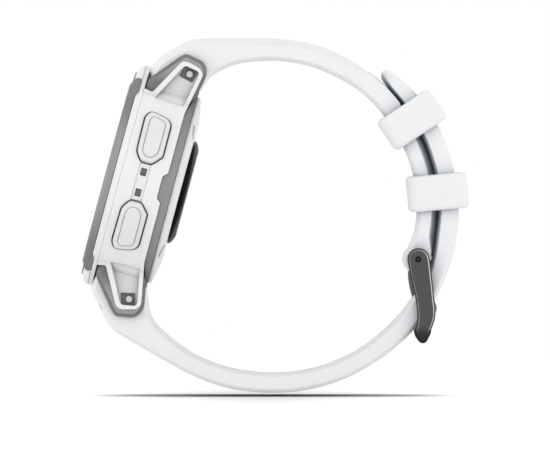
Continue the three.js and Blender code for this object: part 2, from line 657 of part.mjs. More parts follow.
function buildBack() {
  const coverFront = COVER_SEAM_DEPTH + HALF_SEAM;
  const neckHole = SENSOR_NECK_RADIUS + 0.3;
  const coverBlank = turned([
    [neckHole, coverFront], [COVER_RADIUS, coverFront], [16.8, 12.6], [15, 12.95],
    [13, COVER_BACK_DEPTH], [neckHole, COVER_BACK_DEPTH], [neckHole, coverFront],
  ]);
  const portPocket = portBlock(12.45, 15, PORT_CLEARANCE);
  const screwCuts = screwPlaces().flatMap(({ y, z }) => [
    rodAlong(SCREW_SHANK_RADIUS + SCREW_CLEARANCE, 11, 14, y, z, TINY_FACETS),
    rodAlong(SCREW_HEAD_RADIUS + SCREW_CLEARANCE, 12.3, 15, y, z),
  ]);
  place(caseGroup, 'back_cover', cut(coverBlank, portPocket, ...screwCuts), whitePlastic);
  const gasket = turnedRing(GASKET_GROOVE.inner + SEAM, GASKET_GROOVE.outer - SEAM, 11.35, 11.9, RING_FACETS);
  place(caseGroup, 'back_gasket', gasket, blackRubber);

  screwPlaces().forEach(({ y, z }, i) => {
    const head = rodAlong(SCREW_HEAD_RADIUS, 12.55, 12.95, y, z);
    const shank = rodAlong(SCREW_SHANK_RADIUS, 8.6, 12.6, y, z, TINY_FACETS);
    const drive = rodAlong(SCREW_DRIVE_RADIUS, 12.7, 13.5, y, z, 6);
    place(caseGroup, `back_screw_${i + 1}`, cut(joined(head, shank), drive), darkSteel);
  });

  const rimFront = COVER_BACK_DEPTH + SEAM;
  const rimProfile = [
    [SENSOR_RIM.inner, rimFront], [SENSOR_RIM.outer, rimFront], [8.9, 14], [8.1, 14.35],
    [SENSOR_RIM.inner, 14.45], [SENSOR_RIM.inner, rimFront],
  ];
  place(caseGroup, 'sensor_rim', turned(rimProfile, RING_FACETS), darkPlastic);
  const lensProfile = [
    [0, 11.9], [SENSOR_NECK_RADIUS, 11.9], [SENSOR_NECK_RADIUS, rimFront], [SENSOR_LENS_RADIUS, rimFront],
    [SENSOR_LENS_RADIUS, 14.45], [6, SENSOR_BACK_DEPTH], [0, SENSOR_BACK_DEPTH],
  ];
  place(caseGroup, 'sensor_window', turned(lensProfile, RING_FACETS), blackGlass);

  const port = portBlock(12.7, 13.15, 0);
  const contactHoles = contactPlaces()
    .map((y) => rodAlong(CONTACT_HOLE_RADIUS, 12, 14, y, PORT_HEIGHT, TINY_FACETS));
  place(caseGroup, 'charging_port', cut(port, ...contactHoles), darkPlastic);
  contactPlaces().forEach((y, i) => {
    const contact = rodAlong(CONTACT_RADIUS, 12.7, 13.2, y, PORT_HEIGHT, TINY_FACETS);
    place(caseGroup, `charge_contact_${i + 1}`, contact, goldContact);
  });
}

// ---------------------------------------------------------------------------------------------
// Spring bars: a tube in each strap end, a sprung tip at each of its ends
// ---------------------------------------------------------------------------------------------

function buildSpringBars() {
  const lipStart = TUBE.halfLength - TUBE.lip;
  const tubeProfile = [
    [TUBE.mouth, -TUBE.halfLength], [TUBE.radius, -TUBE.halfLength], [TUBE.radius, TUBE.halfLength],
    [TUBE.mouth, TUBE.halfLength], [TUBE.mouth, lipStart], [TUBE.bore, lipStart],
    [TUBE.bore, -lipStart], [TUBE.mouth, -lipStart], [TUBE.mouth, -TUBE.halfLength],
  ];
  const tipProfile = [
    [0, TIP.start], [TIP.collarRadius, TIP.start], [TIP.collarRadius, TIP.collarEnd],
    [TIP.radius, TIP.collarEnd], [TIP.radius, TIP.end], [0, TIP.end],
  ];
  for (const [end, height] of [['upper', BAR_HEIGHT], ['lower', -BAR_HEIGHT]]) {
    const group = new THREE.Group();
    group.position.set(BAR_DEPTH, 0, height);
    caseGroup.add(group);
    place(group, `${end}_bar_tube`, turnedAcross(tubeProfile), brightSteel);
    const springCoil = coilSpring(BAR_SPRING, -BAR_SPRING.halfLength, BAR_SPRING.halfLength);
    place(group, `${end}_bar_spring`, springCoil, brightSteel);
    place(group, `${end}_bar_tip_left`, turnedAcross(tipProfile), brightSteel);
    const rightTip = place(group, `${end}_bar_tip_right`, turnedAcross(tipProfile), brightSteel);
    rightTip.rotation.z = Math.PI;
  }
}

// ---------------------------------------------------------------------------------------------
// Strap
// ---------------------------------------------------------------------------------------------

// Stations of a strap, from its lug end: a point on the outer face and one on the face to the wrist.
const BUCKLE_STRAP = [
  [onCase(2.95, 17.45), onCase(12.15, 17.45)],
  [onCase(2.85, 20.4), onCase(12.85, 20.2)],
  [onCase(5, 23.5), onCase(13.4, 21.4)],
  [[-20.3, 28], [-14.2, 22.75]],
  [[-17.6, 29.4], [-12.4, 24.05]],
  [[-14, 29.7], [-10.3, 24.95]],
  [[-8.5, 29.8], [-7, 25.6]],
  [[-3, 29.75], [-3, 25.85]],
  [[1.2, 29.4], [0.4, 25.6]],
  [[5.6, 28.35], [4.2, 24.7]],
  [[10, 26.15], [7.9, 23.1]],
  [[13.4, 24], [11, 21.4]],
  [onArc(28.25, 52), onArc(24.7, 52)],
  [onArc(27.85, 44), onArc(24.35, 44)],
  [onArc(27.45, 34), onArc(23.98, 34)],
  [onArc(27.4, 20), onArc(23.98, 20)],
  [onArc(27.4, 6), onArc(23.98, 6)],
  [onArc(27.4, -6), onArc(23.98, -6)],
  [onArc(27.5, -13), onArc(23.85, -13)],
  [onArc(27.6, -17.5), onArc(23.4, -17.5)],
  [onArc(27.65, -21.5), onArc(23.1, -21.5)],
];

const HOLED_STRAP = [
  [onCase(3, -17.45), onCase(12.15, -17.45)],
  [onCase(3.1, -20.3), onCase(12.8, -20)],
  [onCase(4.6, -22.9), onCase(13.4, -20.95)],
  [[-32.2, -20.2], [-24.9, -17.7]],
  [[-30, -22.4], [-24.2, -19.3]],
  [[-26.5, -24.7], [-22.4, -21.5]],
  [[-22, -27.4], [-19.7, -24]],
  [[-17, -29.95], [-15.5, -26.55]],
  [[-11, -32], [-10.2, -28.45]],
  [[-4, -32.8], [-3.9, -29.15]],
  [[3, -32.15], [2.5, -28.65]],
  [[10, -29.9], [8.5, -26.75]],
  [[16, -26.5], [13.7, -23.85]],
  [onArc(32.05, -45), onArc(28.15, -45)],
  [onArc(31.75, -37), onArc(28.1, -37)],
  [onArc(31.5, -28), onArc(28.05, -28)],
  [onArc(31.5, -16), onArc(28.05, -16)],
  [onArc(31.4, -3), onArc(27.95, -3)],
  [onArc(31.25, 10), onArc(27.85, 10)],
  [onArc(31.2, 23), onArc(27.8, 23)],
  [onArc(31.15, 34), onArc(27.85, 34)],
  [onArc(30.95, 42), onArc(28.15, 42)],
  [onArc(30.8, 48), onArc(28.45, 48)],
  [onArc(30.75, 51), onArc(28.75, 51)],
  [onArc(30.3, 53), onArc(29.3, 53)],
];

function rail(stations, side) {
  const points = stations.map((station) => new THREE.Vector3(station[side][0], 0, station[side][1]));
  return new THREE.CatmullRomCurve3(points, false, 'centripetal');
}

// A rectangle with cut corners between two points of the rails, spread along Y.
function strapSection(outerPoint, innerPoint, halfWidth) {
  const thickness = outerPoint.distanceTo(innerPoint);
  const outwards = outerPoint.clone().sub(innerPoint).divideScalar(thickness);
  const corner = Math.min(STRAP_CORNER, thickness * 0.3);
  const quarterTurns = [0, 90, 180, 270];
  return quarterTurns.flatMap((start) => [15, 75].map((step) => {
    const angle = THREE.MathUtils.degToRad(start + step);
    const acrossSign = start === 0 || start === 270 ? 1 : -1;
    const upSign = start < 180 ? 1 : -1;
    const across = acrossSign * (halfWidth - corner) + corner * Math.cos(angle);
    const up = thickness / 2 + upSign * (thickness / 2 - corner) + corner * Math.sin(angle);
    return innerPoint.clone().addScaledVector(outwards, up).setY(across);
  }));
}

function strapBand(stations, halfWidthAt) {
  const outer = rail(stations, 0);
  const inner = rail(stations, 1);
  const steps = 2 * (stations.length - 1);
  const rings = Array.from({ length: steps + 1 }, (_, i) => {
    const share = i / steps;
    return strapSection(outer.getPoint(share), inner.getPoint(share), halfWidthAt(share));
  });
  return lofted(rings);
}

// Full width between the lugs, narrower past the share where the taper ends.
function taperedWidth(share, taperStart, taperEnd) {
  const progress = THREE.MathUtils.smoothstep(share, taperStart, taperEnd);
  return THREE.MathUtils.lerp(STRAP_HALF_WIDTH_AT_LUGS, STRAP_HALF_WIDTH, progress);
}

function barBore(height) {
  const [x, z] = onCase(BAR_DEPTH, height);
  return rodAcross(STRAP_BORE_RADIUS, -15, 15, x, z);
}

function buildBuckleStrap() {
  const band = strapBand(BUCKLE_STRAP, (share) => taperedWidth(share, 0.2, 0.5));
  const knuckle = rodAcross(KNUCKLE.radius, -STRAP_HALF_WIDTH, STRAP_HALF_WIDTH, KNUCKLE.x, KNUCKLE.z, 20);
  const pinBore = rodAcross(STRAP_PIN_BORE_RADIUS, -15, 15, PIN.x, PIN.z);
  const { xLow, xHigh, zLow, zHigh } = TONGUE_SLOT;
  const tongueSlot = box(xLow, xHigh, -TONGUE_SLOT_HALF_WIDTH, TONGUE_SLOT_HALF_WIDTH, zLow, zHigh);
  const strap = cut(joined(band, knuckle), barBore(BAR_HEIGHT), pinBore, tongueSlot);
  place(watch, 'buckle_strap', strap, whiteSilicone);
}

// A stadium-shaped hole along the strap, cut square through it.
function strapHole(centre, direction) {
  const radius = HOLE_WIDTH / 2;
  const reach = HOLE_LENGTH / 2 - radius;
  const outline = [...arc(reach, 0, radius, -90, 90, 4), ...arc(-reach, 0, radius, 90, 270, 4)];
  const geometry = extruded(outline, 12);
  geometry.translate(0, 0, -6);
  const normal = new THREE.Vector3().crossVectors(direction, new THREE.Vector3(0, 1, 0));
  const frame = new THREE.Matrix4().makeBasis(direction, new THREE.Vector3(0, 1, 0), normal);
  geometry.applyMatrix4(frame.setPosition(centre));
  return closed(geometry);
}

function middleLine(stations) {
  const middles = stations.map(([outer, inner]) => new THREE.Vector3(
    (outer[0] + inner[0]) / 2, 0, (outer[1] + inner[1]) / 2,
  ));
  return new THREE.CatmullRomCurve3(middles, false, 'centripetal');
}

// The share of a line's length at which it passes nearest to a point.
function nearestShare(line, point) {
  const samples = 600;
  let nearest = 0;
  let best = Infinity;
  for (let i = 0; i <= samples; i += 1) {
    const distance = line.getPointAt(i / samples).distanceTo(point);
    if (distance < best) {
      best = distance;
      nearest = i / samples;
    }
  }
  return nearest;
}

function holePlaces() {
  const line = middleLine(HOLED_STRAP);
  const length = line.getLength();
  const buckledShare = nearestShare(line, new THREE.Vector3(BUCKLED_HOLE.x, 0, BUCKLED_HOLE.z));
  const steps = Array.from(
    { length: HOLES_BELOW_BUCKLE + 1 + HOLES_ABOVE_BUCKLE },
    (_, i) => i - HOLES_BELOW_BUCKLE,
  );
  return steps.map((step) => {
    const share = buckledShare + (step * HOLE_PITCH) / length;
    return { point: line.getPointAt(share), direction: line.getTangentAt(share) };
  });
}

function buildHoledStrap() {
  const tipStart = 0.93;
  const halfWidthAt = (share) => {
    const width = taperedWidth(share, 0.2, 0.5);
    if (share < tipStart) return width;
    const intoTip = (share - tipStart) / (1 - tipStart);
    return width * (1 - 0.45 * intoTip * intoTip);
  };
  const band = strapBand(HOLED_STRAP, halfWidthAt);
  const holes = holePlaces().map(({ point, direction }) => strapHole(point, direction));
  place(watch, 'holed_strap', cut(band, barBore(-BAR_HEIGHT), ...holes), whiteSilicone);
}

// ---------------------------------------------------------------------------------------------
// Keepers: loops round both layers of the strap
// ---------------------------------------------------------------------------------------------

const KEEPERS = [
  { name: 'upper_keeper', angle: 33.4, radius: 27.68, height: 10.3, length: 5.6 },
  { name: 'lower_keeper', angle: 5.2, radius: 27.71, height: 10.6, length: 5.9 },
];
const KEEPER_WALL = 1.1;
const KEEPER_OPENING_HALF_WIDTH = STRAP_HALF_WIDTH + 0.35;

function roundedRectangle(halfA, halfB, corner, stepsPerCorner) {
  return [
    ...arc(halfA - corner, halfB - corner, corner, 0, 90, stepsPerCorner),
    ...arc(-halfA + corner, halfB - corner, corner, 90, 180, stepsPerCorner),
    ...arc(-halfA + corner, -halfB + corner, corner, 180, 270, stepsPerCorner),
    ...arc(halfA - corner, -halfB + corner, corner, 270, 360, stepsPerCorner),
  ];
}

function buildKeepers() {
  for (const { name, angle, radius, height, length } of KEEPERS) {
    const halfOpening = height / 2 - KEEPER_WALL;
    const halfWidth = KEEPER_OPENING_HALF_WIDTH + KEEPER_WALL;
    const outer = extruded(roundedRectangle(height / 2, halfWidth, 1.3, 4), length);
    const inner = extruded(roundedRectangle(halfOpening, KEEPER_OPENING_HALF_WIDTH, 0.6, 2), length + 2);
    inner.translate(0, 0, -1);
    const loop = cut(closed(outer), closed(inner));
    loop.translate(radius, 0, -length / 2);
    const group = new THREE.Group();
    group.position.set(ARC_CENTRE.x, 0, ARC_CENTRE.z);
    group.rotation.y = -THREE.MathUtils.degToRad(angle);
    watch.add(group);
    place(group, name, loop, whiteSilicone);
  }
}

// ---------------------------------------------------------------------------------------------
// Buckle
// ---------------------------------------------------------------------------------------------

// An ear's outline below its round top, down the outer edge and back up the edge to the wrist.
const EAR_EDGE = [
  [24.56, -9.7], [24.91, -12.41], [25.33, -15.95], [25.86, -17.72], [25.68, -18.55], [25.33, -20.55],
  [24.74, -22.32], [24.03, -23.73], [23.56, -24.03], [22.97, -23.97], [22.38, -23.38], [22.02, -22.67],
  [22.02, -21.49], [22.32, -19.96], [22.26, -17.37], [21.79, -15.24], [21.2, -11.71], [20.63, -9.35],
];

const CROSSBAR_PROFILE = [
  [22.3, -22.9], [22.38, -23.38], [22.97, -23.97], [23.56, -24.03], [24.03, -23.73], [24.74, -22.32],
  [24.9, -21.6], [23.9, -21], [22.9, -21.9],
];

const TIP_NOTCH_PROFILE = [[23, -20], [26, -20], [26, -22.4], [23.5, -22.4]];

// The tongue's middle line, from beside the pin to its tip on the crossbar.
const TONGUE_LINE = [[21.35, -9.6], [21.3, -12.4], [21.75, -15], [22.65, -17.6], [23.7, -20], [24.15, -21.7]];

// A strip of even thickness about a smooth line, as a closed outline.
function stripOutline(points, thickness, steps) {
  const line = new THREE.CatmullRomCurve3(points.map(([x, z]) => new THREE.Vector3(x, 0, z)));
  const edges = [[], []];
  for (let i = 0; i <= steps; i += 1) {
    const point = line.getPoint(i / steps);
    const tangent = line.getTangent(i / steps);
    const half = (thickness / 2) * (i === steps ? 0.6 : 1);
    edges[0].push([point.x - tangent.z * half, point.z + tangent.x * half]);
    edges[1].push([point.x + tangent.z * half, point.z - tangent.x * half]);
  }
  return [...edges[0], ...edges[1].reverse()];
}

function buildBuckle() {
  const earTop = arc(PIN.x, PIN.z, EAR_TOP_RADIUS, 180, 0, 10);
  const earOutline = [...earTop, ...EAR_EDGE];
  const ears = [
    slabAcross(earOutline, -EAR_OUTER_Y, -EAR_INNER_Y),
    slabAcross(earOutline, EAR_INNER_Y, EAR_OUTER_Y),
  ];
  const crossbar = slabAcross(CROSSBAR_PROFILE, -EAR_INNER_Y - 0.5, EAR_INNER_Y + 0.5);
  const pinHoles = rodAcross(PIN_END_RADIUS + 0.3, -15, 15, PIN.x, PIN.z);
  const tipNotch = slabAcross(TIP_NOTCH_PROFILE, -TONGUE_SLOT_HALF_WIDTH, TONGUE_SLOT_HALF_WIDTH);
  place(watch, 'buckle_frame', cut(joined(...ears, crossbar), pinHoles, tipNotch), darkSteel);

  const tongueRing = rodAcross(TONGUE_RING_RADIUS, -TONGUE_HALF_WIDTH, TONGUE_HALF_WIDTH, PIN.x, PIN.z, 20);
  const tongueOutline = stripOutline(TONGUE_LINE, TONGUE_THICKNESS, 10);
  const blade = slabAcross(tongueOutline, -TONGUE_HALF_WIDTH, TONGUE_HALF_WIDTH);
  const tongueBore = rodAcross(TONGUE_BORE_RADIUS, -15, 15, PIN.x, PIN.z);
  place(watch, 'buckle_tongue', cut(joined(tongueRing, blade), tongueBore), darkSteel);

  const pinProfile = [
    [0, -PIN_HALF_LENGTH], [PIN_END_RADIUS, -PIN_HALF_LENGTH], [PIN_END_RADIUS, -PIN_BODY_HALF_LENGTH],
    [PIN_RADIUS, -PIN_BODY_HALF_LENGTH], [PIN_RADIUS, PIN_BODY_HALF_LENGTH],
    [PIN_END_RADIUS, PIN_BODY_HALF_LENGTH], [PIN_END_RADIUS, PIN_HALF_LENGTH], [0, PIN_HALF_LENGTH],
  ];
  const pin = place(watch, 'buckle_pin', turnedAcross(pinProfile), brightSteel);
  pin.position.set(PIN.x, 0, PIN.z);
}

// ---------------------------------------------------------------------------------------------
// The watch
// ---------------------------------------------------------------------------------------------

buildMiddleCase();
buildSidePlates();
buildBezel();
buildDisplay();
buildInside();
buildBack();
buildButtons();
buildSpringBars();
buildBuckleStrap();
buildHoledStrap();
buildKeepers();
buildBuckle();

export default watch;
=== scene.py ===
"""Looks of a small white GPS running watch that stands on its buckled silicone strap.

Lengths are in millimetres until a mesh is finished, which writes them in metres. Watch frame: the display
faces -X, 12 o'clock is up and the 3 o'clock side faces -Y. Case frame: [depth, y, height], where depth runs
from the front plane to the wrist and height towards 12 o'clock; it leans by CASE_TILT.
"""

import json
import logging
import math
from dataclasses import dataclass, field, replace
from enum import Enum
from functools import cache
from typing import Iterable, Sequence

import bmesh
import bpy
import numpy as np
from mathutils import Matrix, Vector


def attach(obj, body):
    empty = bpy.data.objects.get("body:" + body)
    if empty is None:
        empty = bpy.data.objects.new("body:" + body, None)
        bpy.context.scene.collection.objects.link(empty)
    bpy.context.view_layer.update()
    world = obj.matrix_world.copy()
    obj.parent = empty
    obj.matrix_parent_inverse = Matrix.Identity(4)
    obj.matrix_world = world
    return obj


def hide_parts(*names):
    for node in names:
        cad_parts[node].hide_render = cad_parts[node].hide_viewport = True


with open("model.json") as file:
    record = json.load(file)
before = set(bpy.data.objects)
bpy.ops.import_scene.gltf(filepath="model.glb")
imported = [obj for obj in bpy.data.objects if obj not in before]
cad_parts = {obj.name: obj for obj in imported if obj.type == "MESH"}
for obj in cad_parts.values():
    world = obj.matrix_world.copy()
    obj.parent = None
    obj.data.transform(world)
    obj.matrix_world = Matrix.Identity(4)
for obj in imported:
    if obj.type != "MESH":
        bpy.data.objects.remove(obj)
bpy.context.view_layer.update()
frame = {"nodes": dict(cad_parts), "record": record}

log = logging.getLogger("watch")

MM = 0.001
CASE_TILT = math.radians(15.1)
CASE_POSITION = (-32.285, 0.0, 6.055)
CASE = Matrix.Translation(CASE_POSITION) @ Matrix.Rotation(CASE_TILT, 4, "Y")
SEAM = 0.24  # the seam that shows round the buttons
FINE_SEAM = 0.015  # the seam between two fixed pieces
BEYOND = 25.0  # half size of a cutting block that reaches past the case
EDGE_RINGS = 4  # rings in a rounded edge
ALL_Y = (-BEYOND, BEYOND)
THROUGH = (-15.0, 15.0)  # a bore along Y right through case, strap and buckle
BAR = (9.6, 20.5)  # case depth and height of the upper spring bar; the lower one is its mirror image
PIN = (22.53, -9.23)  # the buckle pin's x and z

Points = np.ndarray
Colour = tuple[float, float, float]
Pair = tuple[float, float]
Band = tuple[float, float, float, float]


# ---------------------------------------------------------------------------------------------
# Outlines: arrays of [a, b] points
# ---------------------------------------------------------------------------------------------


def unit(vectors: Points) -> Points:
    """Scales each vector to length 1."""
    return vectors / np.linalg.norm(vectors, axis=-1, keepdims=True)


def softened(points: Sequence[Pair], cut: float | Sequence[float], steps: int = 6) -> Points:
    """Rounds the corners of a closed outline.

    Each corner becomes a quadratic curve between two points on its sides, at the cut's distance.

    Args:
        points: The corners in order.
        cut: The distance from a corner to where its curve starts, one for all or one each.
        steps: Points on each curve.

    Returns:
        The rounded outline.
    """
    corner = np.asarray(points, float)
    back, ahead = np.roll(corner, 1, 0) - corner, np.roll(corner, -1, 0) - corner
    shorter = np.minimum(np.linalg.norm(back, axis=1), np.linalg.norm(ahead, axis=1))
    reach = np.minimum(np.broadcast_to(cut, len(corner)), 0.49 * shorter)[:, None]
    start, end = corner + unit(back) * reach, corner + unit(ahead) * reach
    s = np.linspace(0, 1, steps)[None, :, None]
    curve = (1 - s) ** 2 * start[:, None] + 2 * s * (1 - s) * corner[:, None] + s**2 * end[:, None]
    return curve.reshape(-1, 2)


def even(outline: Points, count: int) -> Points:
    """Spaces points evenly along a closed outline, by linear interpolation over its length."""
    loop = np.vstack([outline, outline[:1]])
    along = np.concatenate([[0], np.cumsum(np.linalg.norm(np.diff(loop, axis=0), axis=1))])
    at = np.linspace(0, along[-1], count, endpoint=False)
    return np.stack([np.interp(at, along, loop[:, k]) for k in (0, 1)], 1)


def round_about(outline: Points, centre: Pair, count: int = 144) -> Points:
    """Reads an outline at even angles about a centre that sees all of it.

    Each point is the centre plus the outline's distance, by linear interpolation over its angle.
    """
    away = even(outline, 720) - centre
    angle, distance = np.arctan2(away[:, 1], away[:, 0]), np.linalg.norm(away, axis=1)
    order = np.argsort(angle)
    at = np.linspace(-math.pi, math.pi, count, endpoint=False)
    reach = np.interp(at, angle[order], distance[order], period=2 * math.pi)
    return np.array(centre) + reach[:, None] * np.stack([np.cos(at), np.sin(at)], 1)


def turning_left(outline: Points) -> Points:
    """Orders an outline anticlockwise, by the sign of its shoelace area."""
    after = np.roll(outline, -1, 0)
    area = np.sum(outline[:, 0] * after[:, 1] - outline[:, 1] * after[:, 0])
    return outline if area > 0 else outline[::-1]


def inset(outline: Points, amount: float) -> Points:
    """Moves an anticlockwise outline inwards along the normals of its neighbours' chords."""
    tangent = unit(np.roll(outline, -1, 0) - np.roll(outline, 1, 0))
    return outline - amount * np.stack([tangent[:, 1], -tangent[:, 0]], 1)


def mitred(corners: Points, amount: float) -> Points:
    """Moves the sides of an anticlockwise outline inwards and meets them again.

    A corner moves by amount * (m + n) / (1 + m . n), where m and n are its two sides' inward normals.
    """
    along = unit(np.roll(corners, -1, 0) - corners)
    after = np.stack([-along[:, 1], along[:, 0]], 1)
    before = np.roll(after, 1, 0)
    return corners + amount * (before + after) / (1 + np.sum(before * after, 1, keepdims=True))


def both_halves(half: Sequence[Pair]) -> list[Pair]:
    """Mirrors a half outline that runs from the middle upwards, so that it closes below."""
    return [*half, *[(a, -b) for a, b in reversed(half)]]


def flipped(points: Iterable[Pair]) -> list[Pair]:
    """Mirrors an outline in height."""
    return [(a, -b) for a, b in points]


def circle(radius: float, count: int, a: float = 0.0, b: float = 0.0) -> Points:
    """Points on a circle: centre plus radius times cosine and sine of even angles."""
    angle = np.linspace(0, 2 * math.pi, count, endpoint=False)
    return np.stack([a + radius * np.cos(angle), b + radius * np.sin(angle)], 1)


def arc(radius: float, start: float, end: float, count: int, a: float = 0.0, b: float = 0.0) -> Points:
    """Points on an arc between two angles in degrees."""
    angle = np.radians(np.linspace(start, end, count))
    return np.stack([a + radius * np.cos(angle), b + radius * np.sin(angle)], 1)


def rounded_box(half_a: float, half_b: float, corner: float, steps: int = 9) -> Points:
    """A rectangle with round corners, as four quarter arcs."""
    signs = [(1, 1, 0), (-1, 1, 90), (-1, -1, 180), (1, -1, 270)]
    return np.vstack([
        arc(corner, start, start + 90, steps, sa * (half_a - corner), sb * (half_b - corner))
        for sa, sb, start in signs
    ])


def smooth_rail(points: Points, share: Points) -> Points:
    """Points of a centripetal Catmull-Rom curve.

    Between two given points the curve is a cubic whose end tangents come from their neighbours, with knots
    spaced by the square root of the chord. The end neighbours are mirrored points.

    Args:
        points: The points that the curve goes through, one a row.
        share: Where to read it, from 0 at the first point to 1 at the last, each span alike.

    Returns:
        One point for each share.
    """
    padded = np.vstack([2 * points[0] - points[1], points, 2 * points[-1] - points[-2]])
    place = share * (len(points) - 1)
    span = np.minimum(place.astype(int), len(points) - 2)
    w = (place - span)[:, None]
    p0, p1, p2, p3 = (padded[span + k] for k in range(4))
    chords = (p1 - p0, p2 - p1, p3 - p2)
    d0, d1, d2 = (np.sqrt(np.linalg.norm(chord, axis=1, keepdims=True)) for chord in chords)
    leave = ((p1 - p0) / d0 - (p2 - p0) / (d0 + d1) + (p2 - p1) / d1) * d1
    arrive = ((p2 - p1) / d1 - (p3 - p1) / (d1 + d2) + (p3 - p2) / d2) * d1
    square, cube = 3 * (p2 - p1) - 2 * leave - arrive, 2 * (p1 - p2) + leave + arrive
    return p1 + leave * w + square * w**2 + cube * w**3


# ---------------------------------------------------------------------------------------------
# Skins: vertices and faces worked out on grids
# ---------------------------------------------------------------------------------------------


@dataclass
class Skin:
    """A mesh before it is an object: points in millimetres, and faces as lists of their indices."""

    points: Points
    faces: list[list[int]]

    def moved(self, matrix: Matrix) -> "Skin":
        """Puts every point through a 4 by 4 matrix."""
        turn = np.array(matrix)
        return Skin(self.points @ turn[:3, :3].T + turn[:3, 3], self.faces)

    def reordered(self, order: Sequence[int]) -> "Skin":
        """Takes the coordinates in another order, such as (0, 2, 1)."""
        return Skin(self.points[:, list(order)], self.faces)


def net(points: Points, wrap_rows: bool = False, capped: bool = False) -> Skin:
    """Joins a grid of points into a skin of quads, the last column to the first.

    Args:
        points: An array of rows by columns by 3.
        wrap_rows: Joins the last row to the first.
        capped: Closes the first and the last row with one flat face each.

    Returns:
        The skin.
    """
    rows, columns = points.shape[:2]
    index = np.arange(rows * columns).reshape(rows, columns)
    ends = [index[0][::-1].tolist(), index[-1].tolist()] if capped else []
    if wrap_rows:
        index = np.vstack([index, index[:1]])
    index = np.hstack([index, index[:, :1]])
    quads = np.stack([index[:-1, :-1], index[:-1, 1:], index[1:, 1:], index[1:, :-1]], -1).reshape(-1, 4)
    return Skin(points.reshape(-1, 3), quads.tolist() + ends)


def quarter(steps: int) -> tuple[Points, Points]:
    """A rounded edge of radius 1: how far it is set in, 1 - sin, and how low it is, 1 - cos."""
    angle = np.linspace(0, math.pi / 2, steps)
    return 1 - np.sin(angle), 1 - np.cos(angle)


def stacked(outlines: Sequence[Points], levels: Sequence[float]) -> Points:
    """Puts outlines at levels: rows of [a, b, level]."""
    rows = [np.column_stack([points, np.full(len(points), z)]) for points, z in zip(outlines, levels)]
    return np.stack(rows)


def slab(outline: Points, low: float, high: float, edge: float = 0.0) -> Skin:
    """A plate of even thickness with rounded edges.

    Its rings are the outline at rising levels; near each face a ring is set in by edge * (1 - sin) while it
    is edge * (1 - cos) short of the face.

    Args:
        outline: The outline as [a, b] points.
        low: Level of the lower face.
        high: Level of the upper face.
        edge: Radius of the rounded edges.

    Returns:
        A skin whose points are [a, b, level].
    """
    outline = turning_left(outline)
    if edge <= 0:
        levels, margins = np.array([low, high]), np.zeros(2)
    else:
        margin, drop = quarter(EDGE_RINGS)
        levels = np.concatenate([low + edge * drop, high - edge * drop[::-1]])
        margins = edge * np.concatenate([margin, margin[::-1]])
    return net(stacked([inset(outline, m) for m in margins], levels), capped=True)


def across(outline: Points, low: float, high: float, edge: float = 0.0) -> Skin:
    """A slab whose outline is [x, z] and whose thickness runs along Y."""
    return slab(outline, low, high, edge).reordered((0, 2, 1))


def bevelled(corners: Sequence[Pair], cut: float, levels: Pair, bevels: Pair) -> Skin:
    """A plate along Y whose two faces have bevels of their own.

    Args:
        corners: The outline's corners as [x, z].
        cut: How far from a corner its softening starts.
        levels: Where both faces lie.
        bevels: The width and height of the bevel at each face.

    Returns:
        The plate.
    """
    corners = turning_left(np.asarray(corners, float))
    (low, high), (first, last) = levels, bevels
    outlines = [softened(mitred(corners, margin), cut) for margin in (first, 0, 0, last)]
    return net(stacked(outlines, (low, low + first, high - last, high)), capped=True).reordered((0, 2, 1))


def facing(outline: Points, low: float, high: float, edge: float = 0.0) -> Skin:
    """A slab whose outline is [y, z] and whose thickness runs along X."""
    return slab(outline, low, high, edge).reordered((2, 0, 1))


def block(x: Pair, y: Pair, z: Pair) -> Skin:
    """A plain box, for cutting."""
    return across(np.array([(x[0], z[0]), (x[1], z[0]), (x[1], z[1]), (x[0], z[1])]), y[0], y[1])


def revolved(profile: Points, count: int) -> Skin:
    """Turns a closed profile of [radius, depth] about X: y and z are radius times cosine and sine."""
    angle = np.linspace(0, 2 * math.pi, count, endpoint=False)[None, :]
    radius, depth = profile[:, :1], np.broadcast_to(profile[:, 1:], (len(profile), count))
    return net(np.stack([depth, radius * np.cos(angle), radius * np.sin(angle)], -1), wrap_rows=True)


def rod_across(
    radius: float, y: Sequence[float], x: float, z: float, edge: float = 0.0, count: int = 40
) -> Skin:
    """A rod along Y."""
    return across(circle(radius, count, x, z), y[0], y[1], edge)


# ---------------------------------------------------------------------------------------------
# Solids: skins made objects, and cut, joined and met with each other
# ---------------------------------------------------------------------------------------------


